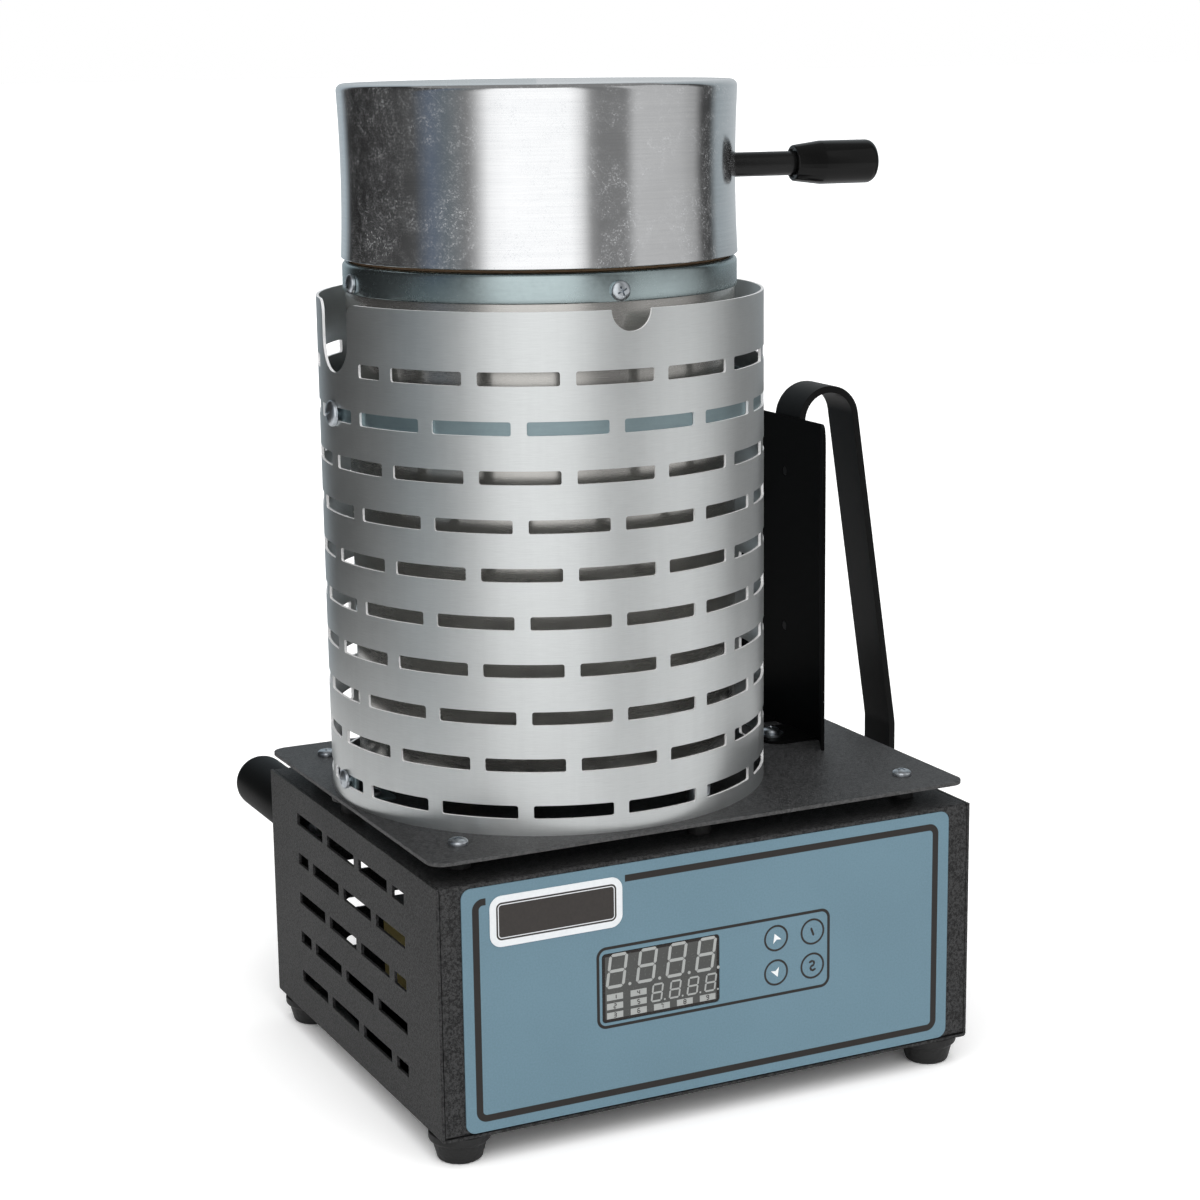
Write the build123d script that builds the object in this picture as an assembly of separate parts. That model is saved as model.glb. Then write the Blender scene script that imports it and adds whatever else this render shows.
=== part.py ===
"""Electric melting furnace for gold and silver, in millimetres.

+Z is up and the control panel faces -Y. Everything is modelled about the centre of the
case, with z = 0 on the bench, and moved at the end so that the origin is the centre of
the whole object's footprint.
"""

import os
from math import cos, radians, sin

from build123d import *

# ---------------------------------------------------------------- driving dimensions
case_width = 240.0
case_depth = 189.2
case_height = 102.6
case_sheet = 1.2
case_bend = 1.5
foot_height = 11.5
deck_width = 240.0
deck_depth = 187.0
deck_gap = 7.7
deck_sheet = 1.5

furnace_x = -27.6
furnace_y = 2.8
shield_radius = 90.9
shield_height = 203.8
shield_sheet = 1.2
can_radius = 79.0
can_sheet = 0.8
ring_radius = 80.0
ring_top_height = 217.2
ring_height = 11.5
lid_radius = 80.3
lid_waist_radius = 79.4
lid_height = 68.6
lid_lift = 1.4
lid_sheet = 1.2

strap_width = 21.2
strap_sheet = 3.0
strap_y = 21.9
guard_x = 98.4
guard_sheet = 1.2
guard_height = 140.4

grip_radius = 12.25
grip_length = 80.0

key_travel = 0.5
rocker_tilt = 9.0
lid_travel = 250.0

# ---------------------------------------------------------------- levels and faces
case_floor = foot_height
case_top = case_floor + case_height
deck_under = case_top + deck_gap
deck_top = deck_under + deck_sheet
shield_top = deck_top + shield_height
ring_top = deck_top + ring_top_height
lid_bottom = ring_top + lid_lift
lid_top = lid_bottom + lid_height

left_face = -case_width / 2
right_face = case_width / 2
front_face = -case_depth / 2
rear_face = case_depth / 2
inner_front = front_face + case_sheet
inner_rear = rear_face - case_sheet
deck_y = 1.0

BOTTOM = (Align.CENTER, Align.CENTER, Align.MIN)


# ---------------------------------------------------------------- helpers
def block(x0, x1, y0, y1, z0, z1):
    """A box between two corners."""
    centre = Pos((x0 + x1) / 2, (y0 + y1) / 2, (z0 + z1) / 2)
    return centre * Box(x1 - x0, y1 - y0, z1 - z0)


def post(x, y, z0, z1, radius):
    """An upright cylinder."""
    return Pos(x, y, z0) * Cylinder(radius, z1 - z0, align=BOTTOM)


def tube(x, y, z0, z1, outer, inner):
    """An upright tube."""
    wall = post(x, y, z0, z1, outer)
    return wall - post(x, y, z0 - 1, z1 + 1, inner)


def bar_y(x, z, y0, y1, radius):
    """A cylinder along Y."""
    return Pos(x, y0, z) * Rot(-90, 0, 0) * Cylinder(radius, y1 - y0, align=BOTTOM)


def bar_x(y, z, x0, x1, radius):
    """A cylinder along X."""
    return Pos(x0, y, z) * Rot(0, 90, 0) * Cylinder(radius, x1 - x0, align=BOTTOM)


def panel_y(x0, x1, z0, z1, y0, y1, corner):
    """A flat panel facing Y, with round corners."""
    outline = RectangleRounded(x1 - x0, z1 - z0, corner)
    centre = Plane(((x0 + x1) / 2, y1, (z0 + z1) / 2), x_dir=(1, 0, 0), z_dir=(0, -1, 0))
    return extrude(centre * outline, y1 - y0)


def around(radius, angle, z=0.0):
    """A point around the furnace axis."""
    x = furnace_x + radius * cos(radians(angle))
    y = furnace_y + radius * sin(radians(angle))
    return (x, y, z)


def outward(radius, angle, z):
    """A plane whose +Z points away from the furnace axis."""
    away = (cos(radians(angle)), sin(radians(angle)), 0)
    return Plane(around(radius, angle, z), x_dir=(0, 0, 1), z_dir=away)


def turned(profile, x=furnace_x, y=furnace_y):
    """Spins an (r, z) outline about an upright axis."""
    face = make_face(Plane.XZ * Polyline(*profile, close=True))
    return Pos(x, y, 0) * revolve(face, Axis.Z)


def furnace_post(radius, angle, z0, z1, size):
    """An upright cylinder placed around the furnace axis."""
    x, y, _ = around(radius, angle)
    return post(x, y, z0, z1, size)


def pan_screw(head, head_height, shank, length):
    """A cross-recessed pan-head screw: the head sits on z = 0 and the shank goes down."""
    dome = Cylinder(head, head_height, align=BOTTOM)
    dome = fillet(dome.edges().group_by(Axis.Z)[-1], head_height * 0.55)
    slot = Box(head * 1.1, head * 0.26, head_height, align=BOTTOM)
    cross = slot + Rot(0, 0, 90) * slot
    dome -= Pos(0, 0, head_height * 0.45) * cross
    return dome + Pos(0, 0, -length) * Cylinder(shank, length, align=BOTTOM)


def hex_nut(x, y, z, across, height, hole):
    """A nut with its lower face at z."""
    prism = extrude(RegularPolygon(across / 2, 6, major_radius=False), height)
    return Pos(x, y, z) * (prism - Cylinder(hole, 4 * height))


def group(shapes):
    """Separate solids that share one node."""
    return Compound([solid for shape in shapes for solid in shape.solids()])


# ---------------------------------------------------------------- shared positions
foot_points = [(x, y) for x in (-108.0, 108.0) for y in (-83.0, 83.0)]
deck_points = [(x, deck_y + y) for x in (-101.0, 101.0) for y in (-73.0, 73.0)]
pillar_angles = (-69.5, 50.5, 170.5)
pillar_radius = 84.5
bracket_angles = (180.0, 84.6, 13.05)
bracket_bolt_radius = 80.0
bracket_sheet = 1.4
guard_tabs = (6.4, 42.6)
guard_bolt_x = 82.8
m4 = 2.0
m4_hole = 2.15
m4_across = 7.0
m4_nut = 3.2

lead_radius = 40.6
lead_angles = (168.0, 192.0)
lead_wire = 1.4
bush_radius = 3.8
thermocouple_radius = 3.0
thermocouple_hole = 3.3

window = (-51.0, 1.0, case_floor + 37.0, case_floor + 65.3)
overlay_sheet = 0.5
overlay_front = front_face - overlay_sheet
badge_sheet = 0.4
key_radius = 5.6
key_places = {
    "key_up": (27.2, case_floor + 59.2),
    "key_down": (27.2, case_floor + 44.6),
    "key_function": (44.2, case_floor + 59.2),
    "key_set": (44.2, case_floor + 44.6),
}
board_front = inner_front + 7.8
board_sheet = 1.6
board_points = [(x, case_floor + z) for x in (-57.0, 57.0) for z in (38.0, 64.0)]

inlet_x = 62.0
inlet_z = case_floor + 45.0
inlet_screw_spacing = 40.0
switch_x = 14.0
switch_z = case_floor + 45.0
grip_x = -100.0
grip_z = case_floor + 75.7


# ---------------------------------------------------------------- case
vent_height = 5.1
vent_pitch = 17.8
vent_length = 31.2
vent_gap = 5.6
vent_short = 12.4
vent_half_span = 61.4
vent_top = case_floor + 89.0
rear_vent_levels = [vent_top - row * vent_pitch for row in (2, 3, 4)]
rear_vent_ends = (-88.0, -51.2)


def vent_cutter():
    """Five rows of slots right through both sides, staggered row by row."""
    cuts = []
    for row in range(5):
        z = vent_top - row * vent_pitch
        lengths = [vent_short, vent_length, vent_length, vent_length]
        if row % 2:
            lengths.reverse()
        y = -vent_half_span
        for length in lengths:
            low = z - vent_height / 2
            cuts.append(block(left_face - 5, right_face + 5, y, y + length, low, low + vent_height))
            y += length + vent_gap
    return cuts


def chassis_tray():
    outer = block(left_face, right_face, front_face, rear_face, case_floor, case_top)
    inside = block(
        left_face + case_sheet, right_face - case_sheet, front_face - 1, rear_face + 1,
        case_floor + case_sheet, case_top + 1,
    )
    tray = outer - inside
    lower = tray.edges().filter_by(Axis.Y).group_by(Axis.Z)[0]
    tray = fillet(lower, case_bend)
    tray -= vent_cutter()
    for x, y in foot_points:
        tray -= post(x, y, case_floor - 1, case_floor + 3, m4_hole)
    for z in strap_screw_levels:
        tray -= bar_x(strap_y, z, right_face - 5, right_face + 5, m4_hole)
    return tray


def top_cover():
    """Front, top and back in one bent sheet, with a flange under the front and back."""
    side_gap = case_sheet + 0.3
    x0 = left_face + side_gap
    x1 = right_face - side_gap
    floor = case_floor + case_sheet + 0.2
    flange = 16.0
    outer = block(x0, x1, front_face, rear_face, floor, case_top)
    inside = block(
        x0 - 1, x1 + 1, inner_front, inner_rear, floor + case_sheet, case_top - case_sheet
    )
    gap = block(x0 - 1, x1 + 1, inner_front + flange, inner_rear - flange, floor - 1, case_top - 20)
    cover = fillet(outer.edges().filter_by(Axis.X), case_bend) - inside - gap
    cuts = [post(x, y, floor - 1, floor + 3, m4_hole) for x, y in foot_points]
    cuts += [post(x, y, case_top - 4, case_top + 1, m4_hole) for x, y in deck_points]
    for angle in pillar_angles:
        cuts.append(furnace_post(pillar_radius, angle, case_top - 4, case_top + 1, m4_hole))
    for angle in lead_angles:
        cuts.append(furnace_post(lead_radius, angle, case_top - 4, case_top + 1, bush_radius + 0.1))
    cuts.append(post(furnace_x, furnace_y, case_top - 4, case_top + 1, bush_radius + 0.6))
    wx0, wx1, wz0, wz1 = window
    cuts.append(panel_y(wx0 - 0.2, wx1 + 0.2, wz0 - 0.2, wz1 + 0.2, front_face - 1, front_face + 3, 2))
    for x, z in key_places.values():
        cuts.append(bar_y(x, z, front_face - 1, front_face + 3, key_radius + 0.4))
    for x, z in board_points:
        cuts.append(bar_y(x, z, front_face - 1, front_face + 3, 1.6))
    cuts.append(panel_y(
        inlet_x - 14.0, inlet_x + 14.0, inlet_z - 10.2, inlet_z + 10.2,
        inner_rear - 2, rear_face + 1, 2,
    ))
    for side in (-1, 1):
        x = inlet_x + side * inlet_screw_spacing / 2
        cuts.append(bar_y(x, inlet_z, inner_rear - 2, rear_face + 1, 1.6))
    cuts.append(block(
        switch_x - 11.1, switch_x + 11.1, inner_rear - 2, rear_face + 1,
        switch_z - 13.6, switch_z + 13.6,
    ))
    cuts.append(bar_y(grip_x, grip_z, inner_rear - 2, rear_face + 1, 3.1))
    for z in rear_vent_levels:
        for x in rear_vent_ends:
            cuts.append(panel_y(
                x, x + vent_length, z - vent_height / 2, z + vent_height / 2,
                inner_rear - 2, rear_face + 1, vent_height / 2 - 0.1,
            ))
    return cover - cuts


def panel_overlay():
    z0 = case_floor + 2.0
    z1 = case_floor + 101.0
    film = panel_y(-110.0, 109.4, z0, z1, overlay_front, front_face, 4)
    wx0, wx1, wz0, wz1 = window
    cuts = [panel_y(wx0 - 0.15, wx1 + 0.15, wz0 - 0.15, wz1 + 0.15, overlay_front - 1, front_face + 1, 1.6)]
    for x, z in key_places.values():
        cuts.append(bar_y(x, z, overlay_front - 1, front_face + 1, key_radius + 0.3))
    return film - cuts


def badge_plate():
    """A blank plate."""
    z0 = case_floor + 76.0
    return panel_y(-98.5, -42.0, z0, z0 + 20.5, overlay_front - badge_sheet, overlay_front, 5)


def display_window():
    x0, x1, z0, z1 = window
    return panel_y(x0, x1, z0, z1, overlay_front, inner_front - 0.1, 1.5)


def display_module():
    x0, x1, z0, z1 = window
    body = block(x0 - 1, x1 + 1, inner_front + 0.1, board_front, z0 - 1, z1 + 1)
    return body


def controller_board():
    board = panel_y(
        -62.0, 62.0, case_floor + 32.0, case_floor + 70.0,
        board_front, board_front + board_sheet, 2,
    )
    for x, z in board_points:
        board -= bar_y(x, z, board_front - 1, board_front + 3, 1.6)
    return board


def board_pillars():
    pillars = []
    for x, z in board_points:
        spacer = bar_y(x, z, inner_front, board_front, 3.0)
        pillars.append(spacer - bar_y(x, z, inner_front - 1, board_front + 1, 1.6))
    return group(pillars)


def key(name):
    """A key cap with a shoulder behind the case front and a stem to its switch."""
    x, z = key_places[name]
    cap = bar_y(x, z, overlay_front, inner_front + 0.3, key_radius)
    shoulder = bar_y(x, z, inner_front + 0.2, inner_front + 1.2, key_radius + 1.2)
    stem = bar_y(x, z, inner_front + 1.0, board_front - 4.4, 2.0)
    return cap + shoulder + stem


def tactile_switches():
    switches = []
    for x, z in key_places.values():
        body = block(x - 3, x + 3, board_front - 3.0, board_front, z - 3, z + 3)
        plunger = bar_y(x, z, board_front - 3.6, board_front - 2.9, 1.7)
        switches.append(body + plunger)
    return group(switches)


def rubber_feet():
    feet = []
    for x, y in foot_points:
        profile = [
            (m4_hole, 4.5), (m4_hole, foot_height), (11.4, foot_height), (11.4, foot_height - 2.2),
            (9.6, foot_height - 4.5), (9.1, 1.0), (8.3, 0.0), (5.0, 0.0), (5.0, 4.5),
        ]
        feet.append(turned(profile, x, y))
    return group(feet)


# ---------------------------------------------------------------- deck
def deck_plate():
    plate = Pos(0, deck_y, deck_under) * extrude(RectangleRounded(deck_width, deck_depth, 7), deck_sheet)
    z0 = deck_under - 1
    z1 = deck_top + 1
    cuts = [post(x, y, z0, z1, m4_hole) for x, y in deck_points]
    cuts += [furnace_post(pillar_radius, a, z0, z1, m4_hole) for a in pillar_angles]
    cuts += [furnace_post(bracket_bolt_radius, a, z0, z1, m4_hole) for a in bracket_angles]
    cuts += [furnace_post(lead_radius, a, z0, z1, bush_radius + 0.1) for a in lead_angles]
    cuts += [post(guard_bolt_x, y, z0, z1, m4_hole) for y in guard_tabs]
    cuts.append(post(furnace_x, furnace_y, z0, z1, bush_radius + 0.6))
    return plate - cuts


def spacer(x, y):
    """A flanged spacer between the case and the deck."""
    profile = [
        (m4_hole, case_top), (4.8, case_top), (4.8, deck_under - 2.0), (8.5, deck_under - 2.0),
        (8.5, deck_under), (m4_hole, deck_under),
    ]
    return turned(profile, x, y)


def deck_spacers():
    pillars = [around(pillar_radius, a)[:2] for a in pillar_angles]
    return group(spacer(x, y) for x, y in deck_points + pillars)


def deck_screws():
    screw = pan_screw(4.0, 2.6, m4, deck_top - case_top + 6.0)
    return group(Pos(x, y, deck_top) * Rot(0, 0, 25) * screw for x, y in deck_points)


# ---------------------------------------------------------------- heat shield
slot_rows = 10
slot_row_pitch = 18.79
slot_first_drop = 25.2
slot_pitch = 23.85
slot_angle = 20.0
slot_height = 5.4
notch_angles = (181.0, 9.5)
notch_width = 26.0
notch_depth = 27.6
notch_corner = 5.0
notch_clear = 13.0
front_notch_angle = -92.4
front_notch_radius = 8.3
hoop_height = 14.0
hoop_sheet = 1.2


def slot_level(row):
    return shield_top - slot_first_drop - row * slot_row_pitch


def slot_centres(row):
    """Angles of a row's slots; odd rows stand half a pitch aside and leave the seam blank."""
    if row % 2:
        return [180.0 + k * slot_pitch for k in range(-7, 8)]
    return [180.0 + (k + 0.5) * slot_pitch for k in range(-7, 7)]


def slot_beside_notch(angle):
    """Centre and span of a top-row slot, which stops short of a deep notch."""
    low = angle - slot_angle / 2
    high = angle + slot_angle / 2
    for notch in notch_angles:
        offset = (angle - notch + 180) % 360 - 180
        if 0 < offset < notch_clear + slot_angle / 2:
            low = max(low, angle - offset + notch_clear)
        elif -notch_clear - slot_angle / 2 < offset <= 0:
            high = min(high, angle - offset - notch_clear)
    span = high - low
    return (low + high) / 2, span if span > 4 else 0.0


def cut_outward(outline, angle, z, inner):
    """Cuts an (x up, y across) outline through the shield's wall from inside."""
    return extrude(outward(inner, angle, z) * outline, 20)


def heat_shield():
    wall = tube(furnace_x, furnace_y, deck_top, shield_top, shield_radius, shield_radius - shield_sheet)
    cuts = []
    for row in range(slot_rows):
        for angle in slot_centres(row):
            centre, span = slot_beside_notch(angle) if row == 0 else (angle, slot_angle)
            if not span:
                continue
            length = 2 * shield_radius * sin(radians(span / 2))
            outline = RectangleRounded(slot_height, length, 0.9)
            cuts.append(cut_outward(outline, centre, slot_level(row), shield_radius - 9))
    for angle in notch_angles:
        half = notch_width / 2
        straight = notch_depth - half
        mouth = RectangleRounded(2 * notch_depth, notch_width, half - 0.01)
        cuts.append(cut_outward(mouth, angle, shield_top, shield_radius - 12))
        flare = Rectangle(2 * notch_corner, notch_width + 2 * notch_corner)
        for side in (-1, 1):
            flare -= Pos(-notch_corner, side * (half + notch_corner)) * Circle(notch_corner)
        cuts.append(cut_outward(flare, angle, shield_top, shield_radius - 12))
    notch = Circle(front_notch_radius)
    cuts.append(cut_outward(notch, front_notch_angle, shield_top, shield_radius - 9))
    return wall - cuts


def support_ring():
    """A hoop inside the shield, behind the second row of slots, and the flat shelf welded in it."""
    middle = slot_level(1)
    outer = shield_radius - shield_sheet - 0.05
    inner = outer - hoop_sheet
    foot = middle - hoop_height / 2
    hoop = tube(furnace_x, furnace_y, foot, foot + hoop_height, outer, inner)
    for angle in bracket_angles:
        hoop -= cut_outward(Circle(m4_hole), angle, middle, shield_radius - 6)
    shelf = tube(furnace_x, furnace_y, foot, foot + hoop_sheet, inner, can_radius + 0.1)
    return group([hoop, shelf])


def shield_brackets():
    """Angles that hold the shield's foot to the deck."""
    made = []
    for angle in bracket_angles:
        leg = block(89.4 - bracket_sheet, 89.4, -7, 7, deck_top, deck_top + 18)
        foot = block(72.0, 89.4, -7, 7, deck_top, deck_top + bracket_sheet)
        foot -= post(bracket_bolt_radius, 0, deck_top - 1, deck_top + 3, m4_hole)
        leg -= bar_x(0, slot_level(9), 84, 95, m4_hole)
        made.append(Pos(furnace_x, furnace_y, 0) * Rot(0, 0, angle) * (leg + foot))
    return group(made)


shield_head_height = 2.8


def shield_screws():
    """Wide heads into the support ring above, small ones into the brackets below."""
    upper = pan_screw(5.2, shield_head_height, m4, 5.0)
    lower = pan_screw(3.9, 2.4, m4, 6.0)
    made = []
    for angle in bracket_angles:
        made.append(outward(shield_radius, angle, slot_level(1)) * Rot(0, 0, 20) * upper)
        made.append(outward(shield_radius, angle, slot_level(9)) * Rot(0, 0, 20) * lower)
    return group(made)


# ---------------------------------------------------------------- furnace body
base_under = deck_top + 10.7
base_sheet = 1.5
fibre_radius = can_radius - can_sheet - 2.3
base_top = base_under + base_sheet
sleeve_floor = base_top + 26.0
mouth_under = ring_top - 13.0
mouth_top = ring_top - 1.3
muffle_top = mouth_under - 2.5
muffle_outer = 38.0
muffle_inner = 33.0
crucible_floor = sleeve_floor + 34.0
crucible_top = ring_top - 5.0
crucible_radius = 28.0
crucible_bore = 22.0
collar_radius = 37.0
cavity_floor = crucible_floor + 15.0


def furnace_base():
    """A disc under the can, with three ears for the pillars."""
    disc = post(furnace_x, furnace_y, base_under, base_top, can_radius)
    for angle in pillar_angles:
        ear = block(70, pillar_radius, -4, 4, base_under, base_top)
        ear += post(pillar_radius, 0, base_under, base_top, 4)
        disc += Pos(furnace_x, furnace_y, 0) * Rot(0, 0, angle) * ear
    z0 = base_under - 1
    z1 = base_top + 1
    cuts = [furnace_post(pillar_radius, a, z0, z1, m4_hole) for a in pillar_angles]
    cuts += [furnace_post(lead_radius, a, z0, z1, bush_radius + 0.1) for a in lead_angles]
    cuts.append(post(furnace_x, furnace_y, z0, z1, thermocouple_hole))
    return disc - cuts


def body_pillars():
    made = []
    for angle in pillar_angles:
        x, y, _ = around(pillar_radius, angle)
        made.append(tube(x, y, deck_top, base_under, 4.8, m4_hole))
    return group(made)


ring_screw_angles = (-92.5, -2.5, 87.5, 177.5)
ring_screw_level = deck_top + 209.9


def furnace_can():
    can = tube(furnace_x, furnace_y, base_top, ring_top - 1.2, can_radius, can_radius - can_sheet)
    for angle in ring_screw_angles:
        can -= cut_outward(Circle(m4_hole), angle, ring_screw_level, can_radius - 5)
    return can


def top_ring():
    """The ring over the can's top edge, with a rolled outer edge and an inward flange."""
    under = ring_top - ring_height
    inner = can_radius + 0.1
    outline = Polyline(
        (inner, ring_top - 1.2), (inner, under), (ring_radius, under), (ring_radius, ring_top - 2),
    )
    roll = RadiusArc((ring_radius, ring_top - 2), (ring_radius - 2, ring_top), -2)
    inside = Polyline((ring_radius - 2, ring_top), (66, ring_top), (66, ring_top - 1.2), (inner, ring_top - 1.2))
    face = make_face(Plane.XZ * Curve(children=[outline, roll, inside]))
    ring = Pos(furnace_x, furnace_y, 0) * revolve(face, Axis.Z)
    for angle in ring_screw_angles:
        ring -= cut_outward(Circle(m4_hole), angle, ring_screw_level, can_radius - 5)
    return ring


def ring_screws():
    screw = pan_screw(4.0, 2.6, m4, 4.0)
    return group(
        outward(ring_radius, a, ring_screw_level) * Rot(0, 0, 12) * screw for a in ring_screw_angles
    )


def insulation_base():
    slab = post(furnace_x, furnace_y, base_top, sleeve_floor, can_radius - can_sheet - 0.1)
    cuts = [
        furnace_post(lead_radius, a, base_top - 1, sleeve_floor + 1, bush_radius + 0.2)
        for a in lead_angles
    ]
    cuts.append(post(furnace_x, furnace_y, base_top - 1, sleeve_floor + 1, thermocouple_hole))
    return slab - cuts


def insulation_sleeve():
    return tube(furnace_x, furnace_y, sleeve_floor, mouth_under, fibre_radius, 43.5)


def mouth_plate():
    return tube(furnace_x, furnace_y, mouth_under, mouth_top, fibre_radius, 38.5)


def muffle_tube():
    return tube(furnace_x, furnace_y, sleeve_floor, muffle_top, muffle_outer, muffle_inner)


def heating_element():
    """A coil of resistance wire round the muffle, and its two tails down to the terminals."""
    turns = 11
    pitch = 13.0
    start = sleeve_floor + 4.0
    helix = Helix(pitch, turns * pitch, lead_radius)
    section = Plane(helix @ 0, z_dir=helix % 0) * Circle(lead_wire)
    coil = sweep(section, path=helix, is_frenet=True)
    coil = Pos(furnace_x, furnace_y, start) * Rot(0, 0, lead_angles[0]) * coil
    tail_top = sleeve_floor + 2.0
    tails = [furnace_post(lead_radius, a, terminal_top, tail_top, lead_wire) for a in lead_angles]
    return group([coil] + tails)


def lead_bushes():
    made = []
    for angle in lead_angles:
        x, y, _ = around(lead_radius, angle)
        made.append(tube(x, y, case_top - 6, base_top + 20, bush_radius, lead_wire + 0.15))
    return group(made)


def thermocouple():
    low = case_top - 30
    probe = post(furnace_x, furnace_y, low, crucible_floor - 4.2, thermocouple_radius)
    head = post(furnace_x, furnace_y, low - 16, low, 5.0)
    return probe + head


def crucible_plinth():
    plinth = post(furnace_x, furnace_y, sleeve_floor, crucible_floor, 30.0)
    return plinth - post(furnace_x, furnace_y, sleeve_floor - 1, crucible_floor - 4, thermocouple_hole)


def crucible():
    """A graphite pot with a collar for the tongs."""
    rim = crucible_top
    outline = [
        (0, crucible_floor), (crucible_radius - 2, crucible_floor),
        (crucible_radius, crucible_floor + 2), (crucible_radius, rim - 11),
        (collar_radius, rim - 8.5), (collar_radius, rim - 1), (collar_radius - 1, rim),
        (crucible_bore + 1, rim), (crucible_bore, rim - 1), (crucible_bore, cavity_floor + 6),
        (crucible_bore - 6, cavity_floor), (0, cavity_floor),
    ]
    return turned(outline)


# ---------------------------------------------------------------- lid
rod_angle = -8.0
rod_radius = 5.0
rod_level = deck_top + 251.8
rod_start = 40.0
knob_start = 110.5
knob_end = 147.0
knob_radius = 9.0
rod_in_knob = 12.0
gasket_sheet = 1.4
retainer_sheet = 1.0
shoulder = 4.0


def lid_profile(radius_offset):
    """The shell's outer line: a slight waist at half height and a round shoulder."""
    foot = (lid_radius - radius_offset, lid_bottom)
    waist = (lid_waist_radius - radius_offset, lid_bottom + lid_height * 0.47)
    top = (lid_radius - radius_offset, lid_top - shoulder)
    return ThreePointArc(foot, waist, top)


def lid_shell():
    side = lid_profile(0.0)
    top_in = RadiusArc((lid_radius, lid_top - shoulder), (lid_radius - shoulder, lid_top), -shoulder)
    cap = Polyline((lid_radius - shoulder, lid_top), (0, lid_top), (0, lid_top - lid_sheet),
                   (lid_radius - shoulder, lid_top - lid_sheet))
    small = shoulder - lid_sheet
    turn = RadiusArc((lid_radius - shoulder, lid_top - lid_sheet),
                     (lid_radius - lid_sheet, lid_top - shoulder), small)
    inner = lid_profile(lid_sheet)
    foot = Line((lid_radius - lid_sheet, lid_bottom), (lid_radius, lid_bottom))
    face = make_face(Plane.XZ * Curve(children=[side, top_in, cap, turn, inner, foot]))
    shell = Pos(furnace_x, furnace_y, 0) * revolve(face, Axis.Z)
    return shell - extrude(outward(60, rod_angle, rod_level) * Circle(rod_radius + 0.15), 30)


def lid_insulation():
    """A fibre block with a short plug that closes the mouth, bored for the rod and its nut."""
    radius = lid_waist_radius - lid_sheet - 0.3
    floor = lid_bottom + retainer_sheet
    block_ = post(furnace_x, furnace_y, floor, lid_top - lid_sheet - 4, radius)
    block_ = fillet(block_.edges().group_by(Axis.Z)[-1], 5)
    block_ += post(furnace_x, furnace_y, crucible_top + 1.5, floor, 36.0)
    block_ -= extrude(outward(rod_start - 1, rod_angle, rod_level) * Circle(rod_radius + 0.2), 60)
    return block_ - extrude(outward(radius - 5.2, rod_angle, rod_level) * Circle(10.2), 20)


def lid_retainer():
    inner = lid_radius - lid_sheet - 0.05
    return tube(furnace_x, furnace_y, lid_bottom, lid_bottom + retainer_sheet, inner - 0.3, 58.0)


def lid_gasket():
    return tube(furnace_x, furnace_y, ring_top + 0.1, lid_bottom, 77.5, 62.0)


def lid_rod():
    length = knob_start + rod_in_knob - rod_start
    return extrude(outward(rod_start, rod_angle, rod_level) * Circle(rod_radius), length)


def lid_rod_nut():
    """The nut that clamps the rod against the inside of the shell."""
    prism = RegularPolygon(8, 6, major_radius=False) - Circle(rod_radius)
    return extrude(outward(lid_waist_radius - lid_sheet - 5.4, rod_angle, rod_level) * prism, 4.6)


def lid_knob():
    """A turned grip: a recessed face, a long taper, a straight barrel and a round end."""
    length = knob_end - knob_start
    round_end = 4.0
    bore = rod_radius + 0.02
    line = Polyline(
        (0, rod_in_knob), (bore, rod_in_knob), (bore, 0.8), (6.1, 0.8), (6.1, 0), (6.9, 0),
        (7.5, 0.6), (knob_radius, 12.0), (knob_radius, length - round_end),
    )
    end = RadiusArc((knob_radius, length - round_end), (knob_radius - round_end, length), -round_end)
    close = Polyline((knob_radius - round_end, length), (0, length), (0, rod_in_knob))
    face = make_face(Plane.XZ * Curve(children=[line, end, close]))
    return outward(knob_start, rod_angle, rod_level) * revolve(face, Axis.Z)


# ---------------------------------------------------------------- guard and handles
guard_front = -9.0
guard_rear = 58.6
guard_curl = (7.6, 14.5)
guard_tab_width = 26.0
guard_tab_reach = 75.0
guard_top = deck_top + guard_height


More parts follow.
